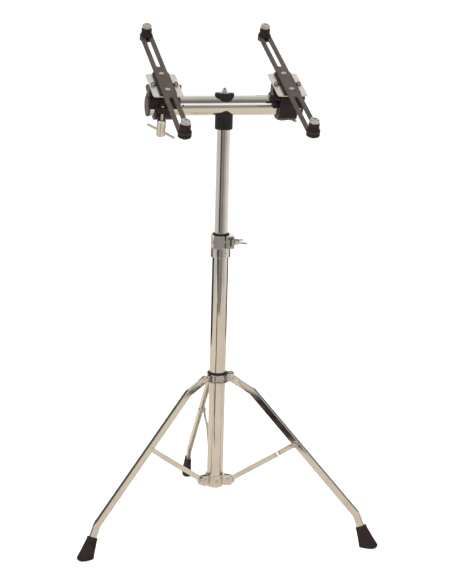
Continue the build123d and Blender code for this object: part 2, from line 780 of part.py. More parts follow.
def clamp_rod(name, frame):
    with BuildPart() as rod:
        with BuildSketch(rod_plane(frame)):
            Circle(ROD_R)
        extrude(amount=ROD_HALF, both=True)
        chamfer(rod.edges().filter_by(GeomType.CIRCLE), length=0.8)
    save(rod, f"clamp_rod_{name}")


# --- arms ---------------------------------------------------------------------------------


def arm_plate(name, frame):
    with BuildPart() as plate:
        with BuildSketch(frame.offset(PLATE_Z[0])):
            RectangleRounded(*PLATE_SIZE, 5)
            with Locations((-PLATE_BOLT_X, 0), (PLATE_BOLT_X, 0)):
                Circle(2.5, mode=Mode.SUBTRACT)
            with Locations((0, -ARM_SCREW_Y), (0, ARM_SCREW_Y)):
                Circle(ARM_SCREW_R, mode=Mode.SUBTRACT)
        extrude(amount=PLATE_Z[1] - PLATE_Z[0])
    save(plate, f"arm_plate_{name}")


def plate_bolts(name, frame):
    """Two dome-head bolts that hold the plate on the cheeks of the clamp."""
    with BuildPart() as bolts:
        with BuildSketch(frame.offset(PLATE_Z[0] - 11)):
            with Locations((-PLATE_BOLT_X, 0), (PLATE_BOLT_X, 0)):
                Circle(2.5)
        extrude(amount=PLATE_Z[1] - PLATE_Z[0] + 11)
        with BuildSketch(frame.offset(PLATE_Z[1])):
            with Locations((-PLATE_BOLT_X, 0), (PLATE_BOLT_X, 0)):
                Circle(4.8)
        extrude(amount=5.6)
        fillet(bolts.edges().group_by(Axis(frame.origin, frame.z_dir))[-1], radius=2.4)
    save(bolts, f"plate_bolts_{name}")


def arm_spacer(name, frame):
    with BuildPart() as spacer:
        with BuildSketch(frame.offset(SPACER_Z[0])):
            RectangleRounded(*SPACER_SIZE, 3)
            with Locations((0, -ARM_SCREW_Y), (0, ARM_SCREW_Y)):
                Circle(ARM_SCREW_R, mode=Mode.SUBTRACT)
        extrude(amount=SPACER_Z[1] - SPACER_Z[0])
    save(spacer, f"arm_spacer_{name}")


def slotted_arm(name, frame):
    slot_middle = sum(SLOT_Y) / 2
    with BuildPart() as arm:
        with BuildSketch(frame.offset(ARM_Z[0])):
            SlotOverall(2 * ARM_HALF, ARM_WIDTH, rotation=90)
            with Locations((0, -slot_middle), (0, slot_middle)):
                SlotOverall(SLOT_Y[1] - SLOT_Y[0], SLOT_WIDTH, rotation=90, mode=Mode.SUBTRACT)
            with Locations((0, -ARM_SCREW_Y), (0, ARM_SCREW_Y)):
                Circle(ARM_SCREW_R, mode=Mode.SUBTRACT)
        extrude(amount=ARM_Z[1] - ARM_Z[0])
    save(arm, f"slotted_arm_{name}")


def arm_screws(name, frame):
    """Two screws down through the arm, the spacer and the plate, with their nuts."""
    spots = ((0, -ARM_SCREW_Y), (0, ARM_SCREW_Y))
    with BuildPart() as screws:
        with BuildSketch(frame.offset(PLATE_Z[0] - 6)):
            with Locations(*spots):
                Circle(ARM_SCREW_R)
        extrude(amount=ARM_Z[1] - PLATE_Z[0] + 6)
        with BuildSketch(frame.offset(ARM_Z[1])):
            with Locations(*spots):
                Circle(5.6)
        extrude(amount=1.8)
        fillet(screws.edges().group_by(Axis(frame.origin, frame.z_dir))[-1], radius=1.0)
        with BuildSketch(frame.offset(PLATE_Z[0] - 4.4)):
            with Locations(*spots):
                RegularPolygon(5, 6)
        extrude(amount=4.4)
    save(screws, f"arm_screws_{name}")


def post_bumper(name, frame, spot):
    """A rubber post that flares where it stands on the arm, and its rubber washer below."""
    with BuildPart() as bumper:
        with BuildSketch(frame.offset(ARM_Z[1] + RUNNING)):
            with Locations(spot):
                Circle(POST_FLARE_R)
        with BuildSketch(frame.offset(ARM_Z[1] + 3)):
            with Locations(spot):
                Circle(POST_FLARE_R - 0.6)
        with BuildSketch(frame.offset(ARM_Z[1] + 6.5)):
            with Locations(spot):
                Circle(POST_R)
        loft(ruled=True)
        with BuildSketch(frame.offset(ARM_Z[1] + 6.5)):
            with Locations(spot):
                Circle(POST_R)
        extrude(amount=CAP_Z[0] - ARM_Z[1] - 6.5)
        with BuildSketch(frame.offset(POST_UNDER_Z)):
            with Locations(spot):
                Circle(POST_FLARE_R)
        extrude(amount=ARM_Z[0] - RUNNING - POST_UNDER_Z)
        with BuildSketch(frame.offset(POST_UNDER_Z)):
            with Locations(spot):
                Circle(POST_SCREW_R)
        extrude(amount=40, mode=Mode.SUBTRACT)
    save(bumper, f"post_bumper_{name}")


def post_cap(name, frame, spot):
    """The silver cap of a post, with its screw down through the slot and the nut below."""
    with BuildPart() as cap:
        with BuildSketch(frame.offset(CAP_Z[0])):
            with Locations(spot):
                Circle(CAP_R)
        extrude(amount=CAP_Z[1] - CAP_Z[0])
        chamfer(cap.edges().group_by(Axis(frame.origin, frame.z_dir))[-1], length=1.0)
        with BuildSketch(frame.offset(CAP_Z[1])):
            with Locations(spot):
                RegularPolygon(2.9, 6)
        extrude(amount=-3, mode=Mode.SUBTRACT)
        with BuildSketch(frame.offset(POST_UNDER_Z - 5.5)):
            with Locations(spot):
                Circle(POST_SCREW_R)
        extrude(amount=CAP_Z[0] - POST_UNDER_Z + 5.5)
        with BuildSketch(frame.offset(POST_UNDER_Z - 4.5)):
            with Locations(spot):
                RegularPolygon(5.5, 6)
        extrude(amount=4.5)
    save(cap, f"post_cap_{name}")


# --- the whole stand ----------------------------------------------------------------------


def main():
    os.makedirs("parts", exist_ok=True)
    column_tubes()
    lower_collar()
    collar_pins()
    collar_screw()
    height_clamp()
    clamp_bush()
    clamp_bolt()
    wing_nut()
    leg_hub()
    hub_bush()
    hub_rivets()
    hub_thumb_screw()
    for name, angle in LEG_ANGLES.items():
        plane = leg_plane(angle)
        leg(name, plane)
        stay(name, plane)
        stay_rivet(name, plane)
        foot(name, plane)
    cross_tube()
    bar_sleeve()
    saddle_cap()
    bar_bolt()
    bar_end_caps()
    for name, side in SIDES.items():
        frame = clamp_frame(side)
        clamp_liner(name, frame)
        clamp_body(name, frame)
        clamp_jaw(name, frame)
        hinge_pin(name, frame)
        clamp_screw(name, frame)
        clamp_rod(name, frame)
        arm_plate(name, frame)
        plate_bolts(name, frame)
        arm_spacer(name, frame)
        slotted_arm(name, frame)
        arm_screws(name, frame)
        for end, place in (("front", side), ("rear", -side)):
            spot = (0, place * POST_Y)
            post_bumper(f"{name}_{end}", frame, spot)
            post_cap(f"{name}_{end}", frame, spot)


main()
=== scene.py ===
"""Looks for the percussion pad stand: finished pieces, materials, floor, light and camera.

Pieces are drawn in millimetres, in the same frames as the CAD, and end up in the row's metres.
"""

from math import atan2, ceil, cos, degrees, pi, radians, sin, sqrt, tan

import bmesh
import bpy
from mathutils import Euler, Matrix, Vector
from mathutils.geometry import tessellate_polygon


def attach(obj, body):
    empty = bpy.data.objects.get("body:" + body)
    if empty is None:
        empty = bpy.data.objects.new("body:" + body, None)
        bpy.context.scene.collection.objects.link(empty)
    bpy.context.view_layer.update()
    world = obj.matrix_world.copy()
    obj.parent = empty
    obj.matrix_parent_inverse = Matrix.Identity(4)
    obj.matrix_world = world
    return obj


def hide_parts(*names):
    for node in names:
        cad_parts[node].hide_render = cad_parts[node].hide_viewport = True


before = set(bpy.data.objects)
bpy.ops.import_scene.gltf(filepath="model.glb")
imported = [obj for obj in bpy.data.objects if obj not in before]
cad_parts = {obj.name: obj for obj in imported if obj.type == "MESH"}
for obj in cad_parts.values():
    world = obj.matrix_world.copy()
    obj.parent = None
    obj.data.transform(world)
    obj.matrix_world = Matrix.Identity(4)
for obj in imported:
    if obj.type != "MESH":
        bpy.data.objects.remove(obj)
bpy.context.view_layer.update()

# --- sizes that the pieces share, in millimetres ---
TUBE_WALL = 1.6
LOWER_R, UPPER_R, BAR_R = 15.875, 12.7, 19.05
BAR_Z, BAR_HALF = 850.0, 147.0
LEGS = {"rear": 88.3, "left": 208.3, "right": 328.3}
LEG_HALF_DEPTH, LEG_HALF_WIDTH, LEG_WALL = 7.0, 4.2, 1.4
HUB_Z, HUB_PIVOT, HUB_SCREW_AT = (301.0, 317.0), (32.0, 310.0), 28.3
COLLAR_Z, COLLAR_PIVOT = (89.5, 110.5), (30.0, 100.0)
STAY_PIVOT, STAY_TAB = (165.0, 192.0), (4.4, 6.8)
LEG_ROUTE = (HUB_PIVOT, (74.0, 289.0), (295.0, 65.0), (313.5, 22.0))

# the height clamp: its round part, the block on it, and the split with its bolt
CLAMP_Z, CLAMP_R, CLAMP_BUSH_R = (573.0, 598.0), 19.3, 14.8
BLOCK_X, BLOCK_FRONT = (-CLAMP_R, 22.5), -24.5
SPLIT_X, BLOCK_BOLT = (2.4, 4.4), (-18.5, 586.0)

# the clamps on the cross tube, and the arms on them
SIDES = {"left": -1, "right": 1}
TILT, ROD_TURN = radians(17.8), radians(54.6)
CLAMP_BORE_R, CHEEK_R = 20.55, 26.0
HINGE, KNUCKLE_R = (24.0, 27.0), 5.8
T_SCREW = (-6.5, -32.0)
PLATE_Z, ARM_Z = (41.3, 43.3), (47.5, 50.5)

# the camera's turn in degrees, and the tint of the greys that the chrome reflects
VIEW_TURN = -12.84
ROOM_TINT = (1, 0.985, 0.96)


# --- frames ---


def place(origin=(0, 0, 0), x=(1, 0, 0), z=(0, 0, 1)):
    """The frame of a piece: its own origin, x and z, given in the row's axes."""
    z = Vector(z).normalized()
    x = Vector(x)
    x = (x - z * x.dot(z)).normalized()
    turned = Matrix((x, z.cross(x), z)).transposed().to_4x4()
    return Matrix.Translation(origin) @ turned


def inside(parent, origin=(0, 0, 0), x=(1, 0, 0), z=(0, 0, 1)):
    """A frame given in the axes of another one."""
    return parent @ place(origin, x, z)


def leg_frame(angle):
    """x runs out from the column, y up, and z across the leg."""
    a = radians(angle)
    return place((0, 0, 0), (cos(a), sin(a), 0), (sin(a), -cos(a), 0))


def clamp_frame(side):
    """x runs along the cross tube, y up the slope of the arm, z square to the arm."""
    return place((side * 120.0, 0, BAR_Z), (-side, 0, 0), (0, -sin(TILT), cos(TILT)))


def side_frame(clamp):
    """Square to the cross tube: x runs up the slope, y square to the arm, z along the tube."""
    return inside(clamp, (0, 0, 0), (0, 1, 0), (1, 0, 0))


ROW = place()


# --- outlines ---


def arc(cx, cy, r, start, end, step=7.5):
    """Points on an arc between two angles in degrees, at most a step apart."""
    n = max(2, ceil(abs(end - start) / step))
    turns = [radians(start + (end - start) * i / n) for i in range(n + 1)]
    return [(cx + r * cos(t), cy + r * sin(t)) for t in turns]


def circle(cx, cy, r, step=7.5):
    return arc(cx, cy, r, 0, 360, step)[:-1]


def polygon(cx, cy, r, sides, turn=0.0):
    turns = [radians(turn) + 2 * pi * i / sides for i in range(sides)]
    return [(cx + r * cos(t), cy + r * sin(t)) for t in turns]


def toothed(low, high, count):
    """A ring of that many points, by turns at the low and the high radius."""
    turns = [2 * pi * i / count for i in range(count)]
    radii = [high if i % 2 else low for i in range(count)]
    return [(r * cos(t), r * sin(t)) for r, t in zip(radii, turns)]


def box(x0, y0, x1, y1):
    return [(x0, y0), (x1, y0), (x1, y1), (x0, y1)]


def corner(a, b, c, r, steps):
    """The arc that rounds the corner at b, made smaller where a side is too short for it."""
    a, b, c = (Vector(p[:2]) for p in (a, b, c))
    u, v = (a - b), (c - b)
    shortest = min(u.length, v.length)
    if r <= 0 or shortest < 1e-6:
        return [tuple(b)]
    u.normalize()
    v.normalize()
    half = u.angle(v) / 2
    if half > radians(89):
        return [tuple(b)]
    reach = min(r / tan(half), 0.48 * shortest)
    r = reach * tan(half)
    centre = b + (u + v).normalized() * (r / sin(half))
    first, last = b + u * reach - centre, b + v * reach - centre
    start = atan2(first.y, first.x)
    turn = (atan2(last.y, last.x) - start + pi) % (2 * pi) - pi
    turns = [start + turn * k / steps for k in range(steps + 1)]
    return [(centre.x + r * cos(t), centre.y + r * sin(t)) for t in turns]


def rounded(points, radius=0.0, steps=4):
    """A closed outline with its corners rounded. A point may carry its own radius."""
    out = []
    for i, p in enumerate(points):
        r = p[2] if len(p) > 2 else radius
        out += corner(points[i - 1], p, points[(i + 1) % len(points)], r, steps)
    return out


def bent(points, radius, steps=10):
    """An open route of straight runs with its inner corners rounded."""
    out = [points[0]]
    for a, b, c in zip(points, points[1:], points[2:]):
        out += corner(a, b, c, radius, steps)
    return out + [points[-1]]


def along(a, b):
    """The direction from a to b, and the one to its left."""
    d = (Vector(b) - Vector(a)).normalized()
    return d, Vector((-d.y, d.x))


def area(points):
    """Positive where the outline runs anticlockwise."""
    return sum(a[0] * b[1] - b[0] * a[1] for a, b in zip(points, points[1:] + points[:1])) / 2


def offset(points, d):
    """The outline moved to its left by d, mitred at its corners."""
    out = []
    for i, p in enumerate(points):
        a, b, c = (Vector(q[:2]) for q in (points[i - 1], p, points[(i + 1) % len(points)]))
        u, v = (b - a), (c - b)
        if u.length < 1e-9 or v.length < 1e-9:
            out.append(tuple(b))
            continue
        u.normalize()
        v.normalize()
        n, m = Vector((-u.y, u.x)), Vector((-v.y, v.x))
        out.append(tuple(b + (n + m) * (d / max(0.4, 1 + n.dot(m)))))
    return out


# --- solids, each a bmesh in the row's millimetres ---


def to_mesh(bm, name="work"):
    """The mesh of a bmesh, which is used up."""
    mesh = bpy.data.meshes.new(name)
    bm.to_mesh(mesh)
    bm.free()
    return mesh


def add_object(name, data):
    o = bpy.data.objects.new(name, data)
    bpy.context.scene.collection.objects.link(o)
    return o


def bridge(bm, rows, wrap=False):
    """Quads between closed rows of vertices. A row of one vertex is a pole."""
    pairs = list(zip(rows, rows[1:])) + ([(rows[-1], rows[0])] if wrap else [])
    for a, b in pairs:
        n = max(len(a), len(b))
        for i in range(n):
            j = (i + 1) % n
            if len(a) == 1 and len(b) == 1:
                continue
            if len(a) == 1:
                bm.faces.new((a[0], b[j], b[i]))
            elif len(b) == 1:
                bm.faces.new((a[i], a[j], b[0]))
            else:
                bm.faces.new((a[i], a[j], b[j], b[i]))


def finish_solid(bm):
    """The solid with all its faces turned outwards."""
    bmesh.ops.recalc_face_normals(bm, faces=bm.faces)
    return bm


def lathe(profile, m=ROW, segments=72):
    """A turned solid. The profile is (radius, z), open if it starts and ends on the axis."""
    bm = bmesh.new()
    rows = []
    for r, z in profile:
        if r < 1e-6:
            rows.append([bm.verts.new(m @ Vector((0, 0, z)))])
        else:
            turns = [2 * pi * i / segments for i in range(segments)]
            rows.append([bm.verts.new(m @ Vector((r * cos(t), r * sin(t), z))) for t in turns])
    bridge(bm, rows, wrap=len(rows[0]) > 1)
    return finish_solid(bm)


def disc(r, z0, z1, m=ROW, edge=0.4, segments=48):
    """A solid turned disc or rod with rounded rims."""
    return lathe(rounded([(0, z0, 0), (r, z0, edge), (r, z1, edge), (0, z1, 0)]), m, segments)


def tube(r, bore, z0, z1, m=ROW, edge=0.4, segments=96):
    """A turned ring with rounded rims."""
    return lathe(rounded([(bore, z0), (r, z0), (r, z1), (bore, z1)], edge), m, segments)


def prism(outline, holes, z0, z1, m=ROW, edge=0.4, steps=3):
    """A plate of that outline with rounded rims, through which the holes run."""
    bm = bmesh.new()
    loops = [outline if area(outline) > 0 else outline[::-1]]
    loops += [h if area(h) < 0 else h[::-1] for h in holes]
    if edge > 0:
        turns = [pi / 2 * k / steps for k in range(steps + 1)]
        levels = [(edge * (1 - sin(t)), z0 + edge * (1 - cos(t))) for t in turns]
        levels += [(edge * (1 - cos(t)), z1 - edge * (1 - sin(t))) for t in turns]
    else:
        levels = [(0, z0), (0, z1)]
    low, high = [], []
    for loop in loops:
        rows = []
        for d, z in levels:
            moved = offset(loop, d) if d > 1e-9 else loop
            rows.append([bm.verts.new(m @ Vector((x, y, z))) for x, y in moved])
        bridge(bm, rows)
        low.append(rows[0])
        high.append(rows[-1])
    back = m.inverted()
    for cap in (low, high):
        verts = [v for loop in cap for v in loop]
        flat = [[(back @ v.co).to_2d().to_3d() for v in loop] for loop in cap]
        for triangle in tessellate_polygon(flat):
            bm.faces.new([verts[i] for i in triangle])
    return finish_solid(bm)


def loft(rows, m=ROW):
    """A solid through closed rows of points, capped at both ends."""
    bm = bmesh.new()
    made = [[bm.verts.new(m @ Vector(p)) for p in row] for row in rows]
    bridge(bm, made)
    bm.faces.new(made[0])
    bm.faces.new(made[-1][::-1])
    return finish_solid(bm)


def thread(r, depth, pitch, z0, z1, m=ROW, segments=20):
    """A rod with a screw thread."""
    bm = bmesh.new()
    rows = [[bm.verts.new(m @ Vector((0, 0, z0)))]]
    count = int(ceil((z1 - z0) / (pitch / 4)))
    for k in range(count + 1):
        z = z0 + (z1 - z0) * k / count
        row = []
        for i in range(segments):
            phase = (z / pitch - i / segments) % 1.0
            fade = min(1.0, (z1 - z) / pitch, (z - z0) / pitch)
            local = r - depth * (1 - abs(2 * phase - 1)) - 0.5 * depth * (1 - max(0.0, fade))
            t = 2 * pi * i / segments
            row.append(bm.verts.new(m @ Vector((local * cos(t), local * sin(t), z))))
        rows.append(row)
    rows.append([bm.verts.new(m @ Vector((0, 0, z1)))])
    bridge(bm, rows)
    return finish_solid(bm)


def sweep(section, route, m=ROW):
    """A section carried along a flat route. Section points are (to the route's left, across)."""
    rows = []
    for i, p in enumerate(route):
        before = Vector(route[max(0, i - 1)])
        after = Vector(route[min(len(route) - 1, i + 1)])
        left = along(before, after)[1]
        rows.append([(p[0] + left.x * u, p[1] + left.y * u, w) for u, w in section])
    return loft(rows, m)


def carve(base, *tools, how="DIFFERENCE"):
    """The base with each tool cut from it, or joined to it."""
    made = [add_object("work", to_mesh(bm)) for bm in (base, *tools)]
    for tool in made[1:]:
        modifier = made[0].modifiers.new("work", "BOOLEAN")
        modifier.operation, modifier.solver, modifier.object = how, "EXACT", tool
    graph = bpy.context.evaluated_depsgraph_get()
    out = bmesh.new()
    out.from_mesh(made[0].evaluated_get(graph).to_mesh())
    for o in made:
        mesh = o.data
        bpy.data.objects.remove(o)
        bpy.data.meshes.remove(mesh)
    return out


def fuse(*solids):
    """The solids joined to one."""
    return carve(*solids, how="UNION")


# --- materials ---


def new_material(name, color, metallic, roughness, **sockets):
    m = bpy.data.materials.new(name)
    m.use_nodes = True
    shader = m.node_tree.nodes["Principled BSDF"]
    shader.inputs["Base Color"].default_value = (*color, 1)
    shader.inputs["Metallic"].default_value = metallic
    shader.inputs["Roughness"].default_value = roughness
    for key, value in sockets.items():
        shader.inputs[key.replace("_", " ")].default_value = value
    return m


def add_node(tree, kind, **settings):
    made = tree.nodes.new(kind)
    for key, value in settings.items():
        setattr(made, key, value)
    return made


def add_ramp(tree, source, stops, tint=(1, 1, 1)):
    """A ramp through stops of (place, colour). A colour may be a grey, which takes the tint."""
    made = add_node(tree, "ShaderNodeValToRGB")
    elements = made.color_ramp.elements
    while len(elements) < len(stops):
        elements.new(0.5)
    for element, (at, color) in zip(elements, stops):
        color = color if isinstance(color, tuple) else [color * share for share in tint]
        element.position = at
        element.color = (*color, 1)
    tree.links.new(source, made.inputs["Fac"])
    return made.outputs["Color"]


class Surface:
    """Adds procedural detail to a material, from noise in the object's own space."""

    def __init__(self, material):
        self.tree = material.node_tree
        self.shader = self.tree.nodes["Principled BSDF"]
        self.space = add_node(self.tree, "ShaderNodeTexCoord").outputs["Object"]
        self.height = None

    def link(self, source, target):
        self.tree.links.new(source, target)

    def noise(self, scale, detail=3.0, stretch=(1, 1, 1), rough=0.5):
        mapping = add_node(self.tree, "ShaderNodeMapping")
        mapping.inputs["Scale"].default_value = stretch
        self.link(self.space, mapping.inputs["Vector"])
        made = add_node(self.tree, "ShaderNodeTexNoise")
        made.inputs["Scale"].default_value = scale
        made.inputs["Detail"].default_value = detail
        made.inputs["Roughness"].default_value = rough
        self.link(mapping.outputs["Vector"], made.inputs["Vector"])
        return made.outputs["Fac"]

    def cells(self, scale):
        made = add_node(self.tree, "ShaderNodeTexVoronoi")
        made.inputs["Scale"].default_value = scale
        self.link(self.space, made.inputs["Vector"])
        return made.outputs["Distance"]

    def color(self, source, *stops):
        self.link(add_ramp(self.tree, source, stops), self.shader.inputs["Base Color"])

    def roughness(self, source, low, high):
        made = add_node(self.tree, "ShaderNodeMapRange")
        made.inputs["From Min"].default_value = 0.3
        made.inputs["From Max"].default_value = 0.7
        made.inputs["To Min"].default_value = low
        made.inputs["To Max"].default_value = high
        self.link(source, made.inputs["Value"])
        self.link(made.outputs["Result"], self.shader.inputs["Roughness"])

    def bump(self, source, distance, strength):
        """Bumps add up: each one starts from the one before."""
        made = add_node(self.tree, "ShaderNodeBump")
        made.inputs["Strength"].default_value = strength
        made.inputs["Distance"].default_value = distance
        self.link(source, made.inputs["Height"])
        if self.height is not None:
            self.link(self.height, made.inputs["Normal"])
        self.height = made.outputs["Normal"]
        self.link(self.height, self.shader.inputs["Normal"])


def chrome(name, color, low=0.035, high=0.11, wear=0.00002):
    """Plating with cloudy patches, uneven polish and faint dents of the wear's depth in metres."""
    m = new_material(name, color, 1.0, 0.07)
    look = Surface(m)
    dark = tuple(0.90 * c for c in color)
    look.color(look.noise(22.0, 4.0), (0.30, dark), (0.62, color))
    look.roughness(look.noise(60.0, 6.0, rough=0.65), low, high)
    look.bump(look.noise(260.0, 2.0), wear, 0.35)
    look.bump(look.noise(4200.0, 2.0), wear * 0.3, 0.3)
    return m


CHROME = chrome("chrome", (0.76, 0.72, 0.66))
CHROME_TUBE = chrome("chrome_tube", (0.76, 0.72, 0.66), 0.02, 0.07, 0.00001)
CHROME_CAST = chrome("chrome_cast", (0.74, 0.70, 0.645), 0.06, 0.16, 0.00005)
# A darker copy of the cast chrome for the hub: painted shade standing in for the dark reflections on it.
CHROME_PAINTED_SHADE = chrome("chrome_painted_shade", (0.52, 0.485, 0.45), 0.05, 0.14, 0.0002)

# Inside the legs' channels: thin, duller plating, its pale colour painted light that brightens faces lying
# in shade.
THIN_PLATING_PAINTED_LIGHT = new_material("thin_plating_painted_light", (0.93, 0.90, 0.84), 0.2, 0.45)
look = Surface(THIN_PLATING_PAINTED_LIGHT)
look.color(look.noise(40.0, 4.0), (0.3, (0.86, 0.83, 0.77)), (0.7, (0.97, 0.95, 0.89)))
look.roughness(look.noise(200.0, 3.0), 0.34, 0.52)

UNPLATED = new_material("unplated", (0.10, 0.085, 0.075), 0.3, 0.6)
look = Surface(UNPLATED)
look.color(look.noise(200.0, 4.0), (0.3, (0.07, 0.058, 0.050)), (0.7, (0.13, 0.112, 0.098)))
look.bump(look.noise(900.0, 3.0), 0.00006, 0.6)

SATIN = new_material("satin_plate", (0.62, 0.58, 0.54), 1.0, 0.36)
look = Surface(SATIN)
look.color(look.noise(90.0, 4.0, (1, 0.12, 1)), (0.3, (0.74, 0.69, 0.65)), (0.7, (0.86, 0.81, 0.765)))
look.roughness(look.noise(400.0, 3.0, (1, 0.05, 1)), 0.30, 0.46)
look.bump(look.noise(1800.0, 2.0, (1, 0.03, 1)), 0.00003, 0.5)

BOLT = new_material("bolt_steel", (0.36, 0.34, 0.28), 1.0, 0.30)
look = Surface(BOLT)
look.color(look.noise(300.0, 4.0), (0.32, (0.26, 0.245, 0.20)), (0.68, (0.50, 0.48, 0.42)))
look.roughness(look.noise(900.0, 3.0), 0.22, 0.42)
look.bump(look.noise(1500.0, 3.0), 0.00004, 0.5)

SCREW = new_material("screw_steel", (0.70, 0.67, 0.62), 1.0, 0.26)
look = Surface(SCREW)
look.color(look.noise(400.0, 3.0), (0.3, (0.58, 0.55, 0.50)), (0.7, (0.80, 0.77, 0.72)))
look.roughness(look.noise(900.0, 3.0), 0.20, 0.36)

POWDER = new_material("powder_coat", (0.085, 0.064, 0.054), 0.0, 0.62, Specular_IOR_Level=0.35)
look = Surface(POWDER)
look.color(look.noise(35.0, 5.0), (0.30, (0.070, 0.052, 0.044)), (0.72, (0.104, 0.080, 0.068)))
look.roughness(look.noise(700.0, 3.0), 0.50, 0.72)
look.bump(look.noise(1500.0, 3.0), 0.00012, 0.7)
look.bump(look.cells(2600.0), 0.00005, 0.5)

CAST = new_material("cast_black", (0.013, 0.008, 0.010), 0.0, 0.42, Specular_IOR_Level=0.22)
look = Surface(CAST)
look.color(look.noise(60.0, 5.0), (0.3, (0.018, 0.010, 0.013)), (0.75, (0.034, 0.020, 0.025)))
look.roughness(look.noise(220.0, 4.0), 0.28, 0.52)
look.bump(look.noise(700.0, 3.0), 0.00010, 0.6)

PLASTIC = new_material("black_plastic", (0.020, 0.012, 0.014), 0.0, 0.5, Specular_IOR_Level=0.3)
look = Surface(PLASTIC)
look.color(look.noise(45.0, 4.0), (0.3, (0.017, 0.009, 0.012)), (0.75, (0.031, 0.018, 0.023)))
look.roughness(look.noise(300.0, 4.0), 0.40, 0.60)
look.bump(look.cells(2200.0), 0.00005, 0.5)

END_CAP = new_material("end_cap", (0.185, 0.178, 0.150), 0.0, 0.55, Specular_IOR_Level=0.4)
look = Surface(END_CAP)
look.color(look.noise(60.0, 4.0), (0.3, (0.078, 0.070, 0.056)), (0.75, (0.115, 0.103, 0.083)))
look.roughness(look.noise(300.0, 4.0), 0.45, 0.65)
look.bump(look.cells(2000.0), 0.00005, 0.5)

RUBBER = new_material("rubber", (0.026, 0.018, 0.018), 0.0, 0.72, Specular_IOR_Level=0.3)
look = Surface(RUBBER)
look.color(look.noise(70.0, 6.0, rough=0.65),
           (0.28, (0.019, 0.011, 0.013)), (0.78, (0.046, 0.029, 0.033)))
look.roughness(look.noise(250.0, 4.0), 0.60, 0.85)
look.bump(look.noise(900.0, 4.0), 0.00012, 0.6)
look.bump(look.noise(90.0, 3.0), 0.00025, 0.4)

SILVER = new_material("cap_silver", (0.72, 0.69, 0.64), 1.0, 0.30)
look = Surface(SILVER)
look.color(look.noise(260.0, 4.0), (0.3, (0.60, 0.57, 0.52)), (0.7, (0.80, 0.77, 0.72)))
look.roughness(look.noise(900.0, 3.0), 0.24, 0.40)
look.bump(look.noise(1400.0, 3.0), 0.00003, 0.4)

CARD = new_material("card", (0.030, 0.012, 0.026), 0.0, 0.9)


# --- pieces ---


def piece(node, body, slot, material, *solids, sharp=38.0, suffix="_fine", inner=None):
    """One finished piece that stands for a CAD node, or a new one where suffix is empty.

    inner is a second material and the test of a face's centre and normal that gives it.
    """
    bm = bmesh.new()
    for solid in solids:
        mesh = to_mesh(solid)
        bm.from_mesh(mesh)
        bpy.data.meshes.remove(mesh)
    bmesh.ops.scale(bm, vec=(0.001, 0.001, 0.001), verts=bm.verts)
    mesh = to_mesh(bm, node + suffix)
    mesh.polygons.foreach_set("use_smooth", [True] * len(mesh.polygons))
    mesh.set_sharp_from_angle(angle=radians(sharp))
    mesh.materials.append(material)
    if inner:
        second, is_inner = inner
        mesh.materials.append(second)
        for face in mesh.polygons:
            face.material_index = int(is_inner(face.center * 1000, face.normal))
    o = add_object(node + suffix, mesh)
    weighted = o.modifiers.new("normals", "WEIGHTED_NORMAL")
    weighted.keep_sharp = True
    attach(o, body)
    if suffix:
        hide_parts(node)


def column():
    """The two tubes, and the plug in the foot of the lower one."""
    low, high = COLLAR_Z[0] - 5.5, CLAMP_Z[0]
    piece("lower_tube", "base", "chrome", CHROME_TUBE, tube(LOWER_R, LOWER_R - TUBE_WALL, low, high))
    piece("upper_tube", "column", "chrome", CHROME_TUBE, tube(UPPER_R, UPPER_R - TUBE_WALL, 330, 826))
    plug = [(0, 84.6, 0), (11, 84.6), (12.4, 86), (14.2, 86), (14.2, 98), (0, 98, 0)]
    piece("tube_plug", "base", "black_plastic", PLASTIC, lathe(rounded(plug, 0.5)), suffix="")


def bolt_frame(x):
    """On the axis of the height clamp's bolt, which z follows."""
    return place((x, *BLOCK_BOLT), (0, 1, 0), (1, 0, 0))


